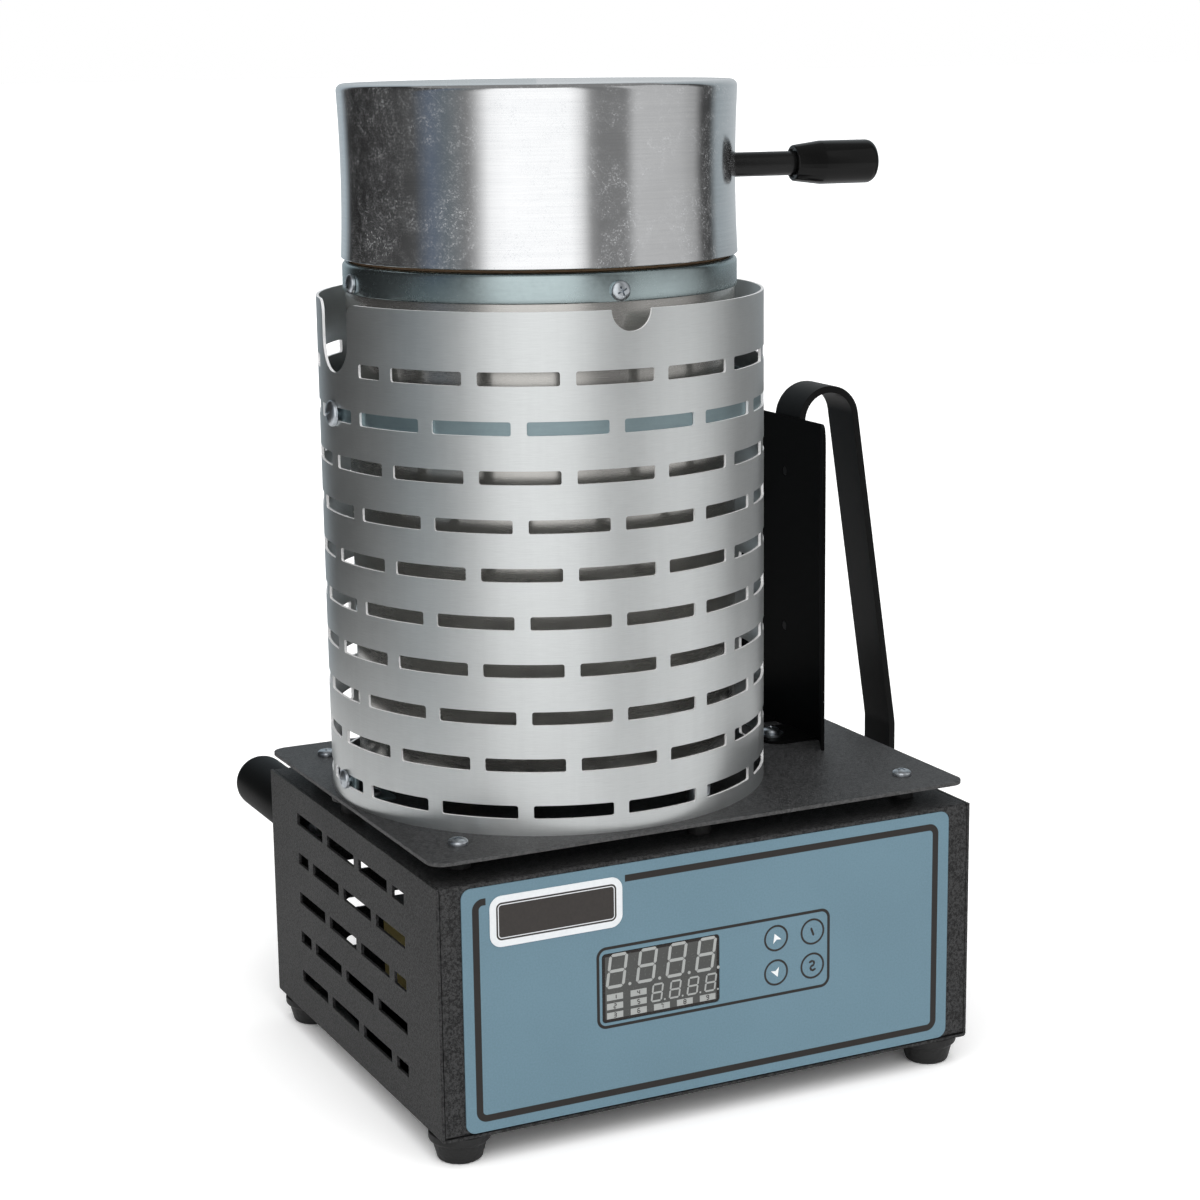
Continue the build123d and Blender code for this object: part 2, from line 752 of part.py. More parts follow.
def heat_guard():
    """A black sheet with both long edges turned in towards the furnace and two foot tabs."""
    inner = guard_x
    outer = guard_x + guard_sheet
    dx, dy = guard_curl
    plan = Polyline(
        (inner - dx, guard_front - dy), (inner, guard_front), (inner, guard_rear),
        (inner - dx, guard_rear + dy), (outer - dx, guard_rear + dy + 0.5),
        (outer, guard_rear + 0.2), (outer, guard_front - 0.2), (outer - dx, guard_front - dy - 0.5),
        close=True,
    )
    wall = Pos(0, 0, deck_top) * extrude(make_face(plan), guard_height)
    bends = [e for e in wall.edges().filter_by(Axis.Z) if abs(e.center().X - guard_x) < 2.5]
    wall = fillet(bends, 2.5)
    mid = (guard_front + guard_rear) / 2
    span = guard_rear - guard_front + 2 * dy + 1
    face = Plane((80, mid, deck_top + guard_height / 2), x_dir=(0, 1, 0), z_dir=(1, 0, 0))
    outline = Rectangle(span + 10, guard_height + 20) - Rectangle(span, guard_height)
    corner = 8.0
    for side in (-1, 1):
        at = Pos(side * (span / 2 - corner / 2), guard_height / 2 - corner / 2)
        square = at * Rectangle(corner, corner)
        rounding = Pos(side * (span / 2 - corner), guard_height / 2 - corner) * Circle(corner)
        outline += square - rounding
    wall -= extrude(face * outline, 40)
    for y in guard_tabs:
        tab = block(
            guard_tab_reach, inner + 0.6, y - guard_tab_width / 2, y + guard_tab_width / 2,
            deck_top, deck_top + guard_sheet,
        )
        far = tab.edges().filter_by(Axis.Z).group_by(Axis.X)[0]
        tab = fillet(far, 9)
        wall += tab - post(guard_bolt_x, y, deck_top - 1, deck_top + 4, m4_hole)
    for z in rivet_levels:
        wall -= bar_x(strap_y, z, inner - 5, outer + 5, m4_hole)
    return wall


def guard_washers():
    z = deck_top + guard_sheet
    return group(tube(guard_bolt_x, y, z, z + 1.0, 5.5, m4_hole) for y in guard_tabs)


strap_inner = guard_x + guard_sheet + 0.1 + strap_sheet / 2
strap_crown = deck_top + 153.6 - strap_sheet / 2
strap_foot_x = 150.5 - strap_sheet / 2
strap_knee = deck_top - 3.0
strap_low = case_floor + 66.0
strap_end = case_floor + 28.0
strap_bend = 13.2
strap_screw_levels = (case_floor + 36.0, case_floor + 52.0)
rivet_levels = (deck_top + 46.0, deck_top + 116.0)


def strap_handle():
    """A flat bar: up the guard, over in a half turn, down and out, then back to the case."""
    wall_x = right_face + strap_sheet / 2 + 0.05
    path = FilletPolyline(
        (strap_inner, 0, deck_top + 36.0),
        (strap_inner, 0, strap_crown),
        (strap_inner + 25.1, 0, strap_crown),
        (strap_foot_x, 0, strap_knee),
        (strap_foot_x, 0, strap_low),
        (wall_x, 0, strap_low),
        (wall_x, 0, strap_end),
        radius=[strap_bend, strap_bend, 20.0, 7.0, 7.0],
    )
    section = Plane(path @ 0, x_dir=(1, 0, 0), z_dir=path % 0) * Rectangle(strap_sheet, strap_width)
    bar = Pos(0, strap_y, 0) * sweep(section, path=path)
    for z in strap_screw_levels:
        bar -= bar_x(strap_y, z, right_face - 1, right_face + 6, m4_hole)
    for z in rivet_levels:
        bar -= bar_x(strap_y, z, guard_x, strap_inner + 5, m4_hole)
    return bar


def strap_rivets():
    """Flush with the guard's inner face, with their heads on the strap's outer face."""
    made = []
    for z in rivet_levels:
        shank = bar_x(strap_y, z, guard_x, strap_inner + strap_sheet / 2 + 0.8, m4)
        head = bar_x(strap_y, z, strap_inner + strap_sheet / 2, strap_inner + strap_sheet / 2 + 1.0, 3.6)
        made.append(shank + head)
    return group(made)


def rear_grip():
    grip = bar_y(grip_x, grip_z, rear_face, rear_face + grip_length, grip_radius)
    far = grip.edges().group_by(Axis.Y)[-1]
    grip = fillet(far, 7.0)
    near = grip.edges().group_by(Axis.Y)[0]
    grip = chamfer(near, 0.6)
    return grip - bar_y(grip_x, grip_z, rear_face - 1, rear_face + 45, 3.0)


def rear_grip_bolt():
    """A stud in the grip, and the nut inside the case that holds it."""
    stud = bar_y(grip_x, grip_z, inner_rear - 9, rear_face + 44.9, 3.0)
    face = Plane((grip_x, inner_rear, grip_z), x_dir=(1, 0, 0), z_dir=(0, -1, 0))
    return group([stud, face * hex_nut(0, 0, 0, 10.0, 5.0, 3.0)])


# ---------------------------------------------------------------- power and control
inlet_mouth = (24.6, 16.8)
inlet_depth = 16.0
inlet_flange = 2.6


def power_inlet():
    """A three-pole appliance inlet: a flange with two ears and a socket in a deep body."""
    flange_y = rear_face + inlet_flange
    flange = panel_y(inlet_x - 25, inlet_x + 25, inlet_z - 12, inlet_z + 12, rear_face, flange_y, 5)
    body = panel_y(
        inlet_x - 13.8, inlet_x + 13.8, inlet_z - 10, inlet_z + 10, rear_face - 18, rear_face + 1, 2
    )
    wide, high = inlet_mouth
    mouth = panel_y(
        inlet_x - wide / 2, inlet_x + wide / 2, inlet_z - high / 2, inlet_z + high / 2,
        flange_y - inlet_depth, flange_y + 1, 3,
    )
    inlet = flange + body - mouth
    for side in (-1, 1):
        x = inlet_x + side * inlet_screw_spacing / 2
        inlet -= bar_y(x, inlet_z, rear_face - 1, flange_y + 1, 1.6)
    return inlet


inlet_pin_places = [(-7.0, -2.0), (7.0, -2.0), (0.0, 2.0)]
pin_length = 11.2


def inlet_pins():
    """Three flat pins that stand in the socket, their ends set well back from its mouth."""
    pins = []
    root = rear_face + inlet_flange - inlet_depth
    for x, z in inlet_pin_places:
        px = inlet_x + x
        pz = inlet_z + z
        pins.append(block(px - 1, px + 1, root, root + pin_length, pz - 2, pz + 2))
    return group(pins)


def inlet_screws():
    screw = pan_screw(2.8, 1.9, 1.5, 8.0)
    face = Plane((inlet_x, rear_face + inlet_flange, inlet_z), x_dir=(1, 0, 0), z_dir=(0, 1, 0))
    return group(face * Pos(s * inlet_screw_spacing / 2, 0, 0) * screw for s in (-1, 1))


rocker_half = (7.6, 10.6)
rocker_pivot_y = rear_face - 3.0
rocker_radius = 11.8


def switch_body():
    """The switch's frame and housing, open at the rear for the rocker."""
    bezel = panel_y(
        switch_x - 12.5, switch_x + 12.5, switch_z - 15.5, switch_z + 15.5,
        rear_face, rear_face + 2.0, 2,
    )
    body = block(
        switch_x - 10.9, switch_x + 10.9, rear_face - 24, rear_face + 1,
        switch_z - 13.4, switch_z + 13.4,
    )
    wide, high = rocker_half
    well = block(
        switch_x - wide - 0.5, switch_x + wide + 0.5, rear_face - 10, rear_face + 3,
        switch_z - high - 2.2, switch_z + high + 2.2,
    )
    return bezel + body - well


def rocker_block():
    """The rocker before it is tilted: two faces that meet in a shallow valley."""
    wide, high = rocker_half
    y0 = rocker_pivot_y - 3.0
    y1 = rocker_pivot_y + 7.0
    profile = Polyline(
        (y0, -high * 0.6), (y1 - 2.4, -high), (y1, -high + 1.0), (y1 - 1.6, 0), (y1, high - 1.0),
        (y1 - 2.4, high), (y0, high * 0.6), close=True,
    )
    side = Plane((switch_x - wide, 0, switch_z), x_dir=(0, 1, 0), z_dir=(1, 0, 0))
    return extrude(side * make_face(profile), 2 * wide)


def power_rocker():
    """The rocker at rest, tipped to its off end."""
    pivot = Pos(switch_x, rocker_pivot_y, switch_z)
    return pivot * Rot(-rocker_tilt, 0, 0) * pivot.inverse() * rocker_block()


def m4_screws():
    """The plain M4 screws: feet, strap, guard, brackets and furnace pillars."""
    foot_depth = 4.5
    nut_room = m4_nut + 1.5
    made = []
    foot = pan_screw(4.0, 2.6, m4, foot_height - foot_depth + 2 * case_sheet + nut_room)
    for x, y in foot_points:
        made.append(Pos(x, y, foot_depth) * Rot(180, 0, 0) * foot)
    side = Plane((right_face + strap_sheet + 0.05, strap_y, 0), x_dir=(0, 0, 1), z_dir=(1, 0, 0))
    strap = pan_screw(4.0, 2.6, m4, strap_sheet + case_sheet + nut_room)
    for z in strap_screw_levels:
        made.append(side * Pos(z, 0, 0) * strap)
    on_washer = deck_top + guard_sheet + 1.0
    guard = pan_screw(4.0, 2.6, m4, on_washer - deck_under + nut_room)
    for y in guard_tabs:
        made.append(Pos(guard_bolt_x, y, on_washer) * Rot(0, 0, 30) * guard)
    bracket = pan_screw(4.0, 2.6, m4, deck_sheet + bracket_sheet + nut_room)
    for angle in bracket_angles:
        made.append(Pos(*around(bracket_bolt_radius, angle, deck_top + bracket_sheet)) * bracket)
    pillar = pan_screw(3.6, 2.4, m4, base_top - case_top + case_sheet + nut_room)
    for angle in pillar_angles:
        made.append(Pos(*around(pillar_radius, angle, base_top)) * pillar)
    return group(made)


def m4_nuts():
    """One nut for each M4 screw that ends inside the case or under the deck."""
    under_case = case_top - case_sheet - m4_nut
    under_deck = deck_under - m4_nut
    places = [(x, y, case_floor + 2 * case_sheet + 0.2) for x, y in foot_points]
    places += [(x, y, under_case) for x, y in deck_points]
    places += [around(pillar_radius, a, under_case) for a in pillar_angles]
    places += [around(bracket_bolt_radius, a, under_deck) for a in bracket_angles]
    places += [(guard_bolt_x, y, under_deck) for y in guard_tabs]
    made = [hex_nut(*place, m4_across, m4_nut, m4) for place in places]
    side = Plane((right_face - case_sheet - m4_nut, strap_y, 0), x_dir=(0, 0, 1), z_dir=(1, 0, 0))
    made += [side * hex_nut(z, 0, 0, m4_across, m4_nut, m4) for z in strap_screw_levels]
    return group(made)


def solid_state_relay():
    base = block(-2, 43, 10, 68, case_floor + 14.4, case_floor + 17.4)
    body = block(-1, 42, 12, 66, case_floor + 17.4, case_floor + 40.0)
    return base + fillet(body.edges().filter_by(Axis.Z), 2)


def relay_heatsink():
    floor = case_floor + case_sheet + 0.2
    sink = block(-4, 45, 4, 74, case_floor + 10.4, case_floor + 14.4)
    fins = [block(-4 + 5.9 * n, -2.3 + 5.9 * n, 4, 74, floor, case_floor + 10.5) for n in range(9)]
    return sink + fins


terminal_top = case_floor + 24.0


def control_transformer():
    """A laminated core with its winding round the upright middle limb."""
    z = case_floor + case_sheet
    core = block(-78, -56, 22, 62, z, z + 46)
    core -= [block(-79, -55, y, y + 8, z + 8, z + 38) for y in (28, 48)]
    coil = block(-84, -50, 28.2, 55.8, z + 8.2, z + 37.8)
    coil -= block(-78.2, -55.8, 35.8, 48.2, z + 8, z + 38)
    return group([core, coil])


def terminal_block():
    x, y, _ = around(lead_radius, 180.0)
    block_ = block(x - 14, x + 14, y - 18, y + 18, case_floor + case_sheet, terminal_top)
    return fillet(block_.edges().filter_by(Axis.Z), 2)


def wire(points, radius, thickness):
    path = FilletPolyline(*points, radius=radius)
    section = Plane(path @ 0, z_dir=path % 0) * Circle(thickness)
    return sweep(section, path=path)


def internal_wiring():
    """Mains leads: inlet to switch, switch to relay, relay and inlet to the terminal block."""
    tail = rear_face - 18.0
    wires = []
    out_x = switch_x + 4
    wires.append(wire(
        [(inlet_x - 7, tail, inlet_z), (inlet_x - 7, tail - 20, inlet_z),
         (out_x, rear_face - 44, switch_z), (out_x, rear_face - 24, switch_z)],
        8, 1.4,
    ))
    in_x = switch_x - 4
    relay_top = case_floor + 40.0
    wires.append(wire(
        [(in_x, rear_face - 24, switch_z), (in_x, rear_face - 44, switch_z),
         (in_x, rear_face - 44, relay_top)],
        3, 1.4,
    ))
    x, y, _ = around(lead_radius, 180.0)
    x += 14
    port = case_floor + 14
    wires.append(wire(
        [(-1, 45, port + 14), (-16, 45, port + 14), (x + 16, y + 8, port), (x, y + 8, port)],
        6, 1.4,
    ))
    wires.append(wire(
        [(inlet_x + 7, tail, inlet_z), (inlet_x + 7, tail - 24, inlet_z),
         (inlet_x + 4, -8, port + 18), (0, -30, port + 8), (x + 18, y - 8, port),
         (x, y - 8, port)],
        8, 1.4,
    ))
    return group(wires)


# ---------------------------------------------------------------- build and export
makers = [
    chassis_tray, top_cover, panel_overlay, badge_plate, display_window, display_module,
    controller_board, board_pillars, tactile_switches, rubber_feet, m4_screws, m4_nuts,
    deck_plate, deck_spacers, deck_screws, heat_shield, support_ring, shield_brackets,
    shield_screws, furnace_base, body_pillars, furnace_can, top_ring, ring_screws,
    insulation_base, insulation_sleeve, mouth_plate, muffle_tube, heating_element, lead_bushes,
    thermocouple, crucible_plinth, crucible, lid_shell, lid_insulation, lid_retainer,
    lid_gasket, lid_rod, lid_rod_nut, lid_knob, heat_guard, guard_washers, strap_handle,
    strap_rivets, rear_grip, rear_grip_bolt, power_inlet, inlet_pins, inlet_screws,
    switch_body, power_rocker, solid_state_relay, relay_heatsink, control_transformer,
    terminal_block, internal_wiring,
]

x_low = furnace_x - shield_radius - shield_head_height
x_high = strap_foot_x + strap_sheet / 2
y_low = overlay_front - badge_sheet
y_high = rear_face + grip_length
to_origin = Pos(-(x_low + x_high) / 2, -(y_low + y_high) / 2, 0)


def write(name, shape):
    """Moves a piece's solids to the object's origin and writes them."""
    solids = [to_origin * solid for solid in shape.solids()]
    moved = Compound(solids) if len(solids) > 1 else solids[0]
    export_step(moved, f"parts/{name}.step")


def main():
    os.makedirs("parts", exist_ok=True)
    for maker in makers:
        write(maker.__name__, maker())
    for name in key_places:
        write(name, key(name))


main()
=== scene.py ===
from math import cos, radians, sin, tan

import bmesh
import bpy
import numpy as np
from mathutils import Matrix, Vector


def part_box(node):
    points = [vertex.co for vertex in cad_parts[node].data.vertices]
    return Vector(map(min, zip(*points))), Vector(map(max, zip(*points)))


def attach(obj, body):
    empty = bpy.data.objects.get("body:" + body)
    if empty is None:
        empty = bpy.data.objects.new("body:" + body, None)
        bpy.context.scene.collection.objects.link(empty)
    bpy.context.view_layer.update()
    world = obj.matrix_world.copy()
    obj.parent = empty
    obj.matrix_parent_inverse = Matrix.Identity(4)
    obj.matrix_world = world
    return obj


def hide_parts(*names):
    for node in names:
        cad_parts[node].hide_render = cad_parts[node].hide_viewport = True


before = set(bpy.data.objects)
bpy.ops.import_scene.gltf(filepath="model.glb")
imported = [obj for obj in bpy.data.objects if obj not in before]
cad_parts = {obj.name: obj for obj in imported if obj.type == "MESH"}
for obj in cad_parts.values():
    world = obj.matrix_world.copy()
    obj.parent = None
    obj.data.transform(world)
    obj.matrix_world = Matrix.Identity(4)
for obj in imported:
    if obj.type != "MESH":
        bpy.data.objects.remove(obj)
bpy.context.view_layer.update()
scene = bpy.context.scene
scene.view_settings.view_transform = "Standard"

# ---------------------------------------------------------------- sizes, in metres and degrees
mm = 0.001

shield_radius = 90.9 * mm
shield_sheet = 1.2 * mm
slot_rows = 10
slot_row_pitch = 18.79 * mm
slot_first_drop = 25.2 * mm
slot_pitch = 23.85
slot_span = 20.0
slot_height = 5.4 * mm
slot_corner = 0.9 * mm
notch_angles = (181.0, 9.5)
notch_width = 26.0 * mm
notch_depth = 27.6 * mm
notch_flare = 5.0 * mm
notch_clear = 13.0
front_notch_angle = -92.4
front_notch_radius = 8.3 * mm
above_edge = 4 * mm

can_radius = 79.0 * mm
can_sheet = 0.8 * mm
ring_radius = 80.0 * mm
ring_height = 11.5 * mm
ring_roll = 2.0 * mm
ring_lip = 66.0 * mm
ring_screw_angles = (-92.5, -2.5, 87.5, 177.5)
ring_screw_drop = 7.3 * mm
bracket_angles = (180.0, 84.6, 13.05)
bracket_bolt_radius = 80.0 * mm
pillar_angles = (-69.5, 50.5, 170.5)
pillar_radius = 84.5 * mm

lid_radius = 80.3 * mm
lid_waist_radius = 79.4 * mm
lid_sheet = 1.2 * mm
lid_shoulder = 2.8 * mm
lid_flat = 40.0 * mm
gasket_bore = 62.0 * mm
rod_angle = -8.0
rod_radius = 5.0 * mm
rod_start = 40.0 * mm
knob_radius = 9.0 * mm
knob_start = 110.5 * mm
knob_length = 36.5 * mm
knob_bore_depth = 12.0 * mm

foot_reach = (108.0 * mm, 83.0 * mm)
foot_well = 4.5 * mm
deck_reach = (101.0 * mm, 73.0 * mm)
deck_shift = 1.0 * mm
guard_bolt = 82.8 * mm
guard_tabs = (6.4 * mm, 42.6 * mm)
strap_screw_levels = (36.0 * mm, 52.0 * mm)
strap_stand_off = 3.05 * mm
bracket_sheet = 1.4 * mm
digit_slant = 8.0

# in millimetres: the hole for an M4 screw, the printed ring on each key and the film's edge round it
m4_hole_radius = 2.1
key_ring_radii = (5.57, 4.72)
key_gap_radii = (5.89, 5.61)

# sides of a round piece, and the turn from which an edge stays sharp, in radians
round_steps = 256
small_steps = 64
edge_angle = radians(32)


def box(node):
    """The lowest and highest corner of a CAD node as arrays."""
    low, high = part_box(node)
    return np.array(low), np.array(high)


def middle(node):
    low, high = box(node)
    return (low + high) / 2


axis = middle("lid_retainer")
tray_low, tray_high = box("chassis_tray")
case = (tray_low + tray_high) / 2
case_floor = tray_low[2]
deck_top = box("deck_plate")[1][2]
shield_top = box("heat_shield")[1][2]
ring_top = box("top_ring")[1][2]
lid_low, lid_high = box("lid_shell")
overlay_front = box("panel_overlay")[0][1]
rod_level = middle("lid_rod")[2]

# ---------------------------------------------------------------- shapes
UP = np.array((0.0, 0.0, 1.0))


def heading(angle):
    """The level direction at an angle, in degrees, about the furnace."""
    return np.array((cos(radians(angle)), sin(radians(angle)), 0.0))


def beside(angle):
    """The level direction a quarter turn on from heading(angle)."""
    return np.array((-sin(radians(angle)), cos(radians(angle)), 0.0))


def around(radius, angle, level):
    """A point at a radius, an angle and a level about the furnace's axis."""
    return np.array((axis[0], axis[1], 0.0)) + radius * heading(angle) + level * UP


def basis(origin, direction):
    """A 4x4 matrix whose +Z is the direction, +X is as level as can be, and its origin is a point."""
    z = np.array(direction, float)
    z /= np.linalg.norm(z)
    helper = UP if abs(z[2]) < 0.9 else np.array((0.0, 1.0, 0.0))
    x = np.cross(helper, z)
    x /= np.linalg.norm(x)
    matrix = np.eye(4)
    matrix[:3, 0], matrix[:3, 1], matrix[:3, 2], matrix[:3, 3] = x, np.cross(z, x), z, origin
    return matrix


def radial(radius, angle, level):
    """The place of something that points away from the furnace's axis."""
    return basis(around(radius, angle, level), heading(angle))


def moved(points, matrix):
    return points @ matrix[:3, :3].T + matrix[:3, 3]


def arc(centre, radius, start, stop, steps):
    """Points on a circle: centre + radius * (cos a, sin a), a going evenly from start to stop degrees."""
    a = np.radians(np.linspace(start, stop, steps + 1))
    return np.stack([centre[0] + radius * np.cos(a), centre[1] + radius * np.sin(a)], axis=1)


def rounded(corners, steps=5):
    """An outline whose corners (x, y, radius) are arcs: each arc's tangent points lie at
    radius * tan(half the turn) from the corner, and its points turn evenly about its centre."""
    made = []
    count = len(corners)
    for k, (x, y, radius) in enumerate(corners):
        here = np.array((x, y))
        if radius == 0:
            made.append(here[None])
            continue
        back = np.array(corners[k - 1][:2]) - here
        ahead = np.array(corners[(k + 1) % count][:2]) - here
        back /= np.linalg.norm(back)
        ahead /= np.linalg.norm(ahead)
        half = np.arccos(np.clip(back @ ahead, -1, 1)) / 2
        bisector = (back + ahead) / np.linalg.norm(back + ahead)
        centre = here + bisector * radius / np.sin(half)
        first = here + back * radius / np.tan(half) - centre
        last = here + ahead * radius / np.tan(half) - centre
        t = np.linspace(0, 1, steps + 1)[:, None]
        turn = np.pi - 2 * half
        ring = (np.sin((1 - t) * turn) * first + np.sin(t * turn) * last) / np.sin(turn)
        made.append(centre + ring)
    return np.concatenate(made)


def grid_faces(rows, columns, close_rows=False, close_columns=False):
    """Quads of a rows x columns grid of points, row by row, wrapping round where it closes."""
    i = np.arange(rows if close_rows else rows - 1)[:, None]
    j = np.arange(columns if close_columns else columns - 1)[None]
    a = i * columns + j
    b = i * columns + (j + 1) % columns
    c = (i + 1) % rows * columns + (j + 1) % columns
    d = (i + 1) % rows * columns + j
    return np.stack([a, b, c, d], axis=-1).reshape(-1, 4)


def new_mesh(name, points, faces, outward=True):
    """A mesh from points and lists of corners, its doubles merged and its faces turned outwards."""
    mesh = bpy.data.meshes.new(name)
    mesh.from_pydata(np.asarray(points).tolist(), [], [list(f) for f in faces])
    cleaned = bmesh.new()
    cleaned.from_mesh(mesh)
    bmesh.ops.remove_doubles(cleaned, verts=cleaned.verts, dist=0.5e-6)
    bmesh.ops.dissolve_degenerate(cleaned, edges=cleaned.edges, dist=0.5e-6)
    if outward:
        bmesh.ops.recalc_face_normals(cleaned, faces=cleaned.faces)
    cleaned.to_mesh(mesh)
    cleaned.free()
    mesh.update()
    return mesh


def shade(mesh):
    """Smooth shading, with edges kept sharp where faces turn by more than the edge angle."""
    mesh.polygons.foreach_set("use_smooth", np.ones(len(mesh.polygons), bool))
    mesh.set_sharp_from_angle(angle=edge_angle)


def linked(name, data):
    """A new object in the scene."""
    made = bpy.data.objects.new(name, data)
    scene.collection.objects.link(made)
    return made


def piece(name, mesh, material, body, stands_for=(), shaded=False):
    """An object of the furnace: shaded unless it already is, with its material, on its body."""
    made = linked(name, mesh)
    mesh.materials.clear()
    mesh.materials.append(material)
    if not shaded:
        shade(mesh)
    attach(made, body)
    if stands_for:
        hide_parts(*stands_for)


def turned_points(outline, steps):
    """A closed (radius, height) outline turned about +Z: (r cos a, r sin a, h) for a round the circle."""
    a = np.linspace(0, 2 * np.pi, steps, endpoint=False)[:, None]
    r, h = outline[None, :, 0], outline[None, :, 1]
    points = np.stack([r * np.cos(a), r * np.sin(a), h + 0 * a], axis=-1).reshape(-1, 3)
    return points, grid_faces(steps, len(outline), close_rows=True, close_columns=True)


def turned(name, outline, place, steps=round_steps):
    points, faces = turned_points(np.asarray(outline), steps)
    return new_mesh(name, moved(points, place), faces)


def prism_points(outline, low, high):
    """An (x, y) outline carried along +Z from low to high, closed by its two ends."""
    count = len(outline)
    level = np.array((low, high))[:, None]
    flat = np.broadcast_to(outline[None], (2, count, 2))
    points = np.concatenate([flat, np.broadcast_to(level[..., None], (2, count, 1))], axis=-1)
    walls = grid_faces(2, count, close_columns=True).tolist()
    ends = [list(range(count))[::-1], list(range(count, 2 * count))]
    return points.reshape(-1, 3), walls + ends


def merged(parts):
    """Several (points, faces) joined into one, the corner numbers moved on by the points before."""
    starts = np.cumsum([0] + [len(points) for points, _ in parts])
    points = np.concatenate([p for p, _ in parts])
    faces = [[start + corner for corner in face] for start, (_, fs) in zip(starts, parts) for face in fs]
    return points, faces


def copies(part, matrices):
    """The same (points, faces) at several places."""
    points, faces = part
    return merged([(moved(points, matrix), faces) for matrix in matrices])


def cut(mesh, cutters):
    """The mesh less the cutters' solid, worked out exactly."""
    tool = linked("cut_tool", cutters)
    made = modified(mesh, "BOOLEAN", operation="DIFFERENCE", solver="EXACT", use_self=False, object=tool)
    bpy.data.objects.remove(tool)
    return made


def modified(mesh, kind, **settings):
    """The mesh with one modifier worked out."""
    whole = linked("modified_whole", mesh)
    change = whole.modifiers.new("change", kind)
    for name, value in settings.items():
        setattr(change, name, value)
    graph = bpy.context.evaluated_depsgraph_get()
    made = bpy.data.meshes.new_from_object(whole.evaluated_get(graph))
    bpy.data.objects.remove(whole)
    return made


# ---------------------------------------------------------------- shader maths
def maths(operation):
    """A method for Signal that adds one Math node of that kind."""
    return lambda self, *others: self.math(operation, self, *others)


class Signal:
    """A number that varies over a surface; arithmetic on it adds Math nodes."""

    def __init__(self, nodes, socket):
        self.nodes = nodes
        self.socket = socket

    def math(self, operation, *values):
        made = self.nodes.node("ShaderNodeMath", {"operation": operation}, *values)
        return Signal(self.nodes, made.outputs[0])

    def __rsub__(self, other):
        return self.math("SUBTRACT", other, self)

    __add__ = __radd__ = maths("ADD")
    __sub__ = maths("SUBTRACT")
    __mul__ = __rmul__ = maths("MULTIPLY")
    __abs__ = maths("ABSOLUTE")
    __pow__ = maths("POWER")
    __gt__ = maths("GREATER_THAN")
    __lt__ = maths("LESS_THAN")
    low = maths("MINIMUM")
    high = maths("MAXIMUM")

    def between(self, start, stop):
        """Rises smoothly from 0 at start to 1 at stop."""
        settings = {"interpolation_type": "SMOOTHSTEP"}
        made = self.nodes.node("ShaderNodeMapRange", settings, self, start, stop, 0, 1)
        return Signal(self.nodes, made.outputs[0])


class Nodes:
    """Adds nodes to one tree, of a finish, the world or the studio."""

    def __init__(self, tree):
        self.tree = tree

    def node(self, kind, settings=None, *values, **named):
        """Adds a node, sets it up, and gives its sockets values or links."""
        made = self.tree.nodes.new(kind)
        for name, value in (settings or {}).items():
            setattr(made, name, value)
        sockets = list(zip(made.inputs, values))
        sockets += [(made.inputs[name.replace("_", " ")], value) for name, value in named.items()]
        for socket, value in sockets:
            self.feed(socket, value)
        return made

    def feed(self, socket, value):
        """Links a socket to a Signal or an output, or gives it a number, a vector or a colour."""
        value = getattr(value, "socket", value)
        if isinstance(value, bpy.types.NodeSocket):
            self.tree.links.new(value, socket)
        elif socket.type == "RGBA":
            socket.default_value = (*value, 1)
        else:
            socket.default_value = value

    def mix(self, share, first, second):
        """A colour between two, by a share."""
        made = self.node("ShaderNodeMix", {"data_type": "RGBA"}, share)
        self.feed(made.inputs[6], first)
        self.feed(made.inputs[7], second)
        return made.outputs[2]


def new_material(name):
    """A material with an empty node tree."""
    material = bpy.data.materials.new(name)
    material.use_nodes = True
    material.node_tree.nodes.clear()
    return material


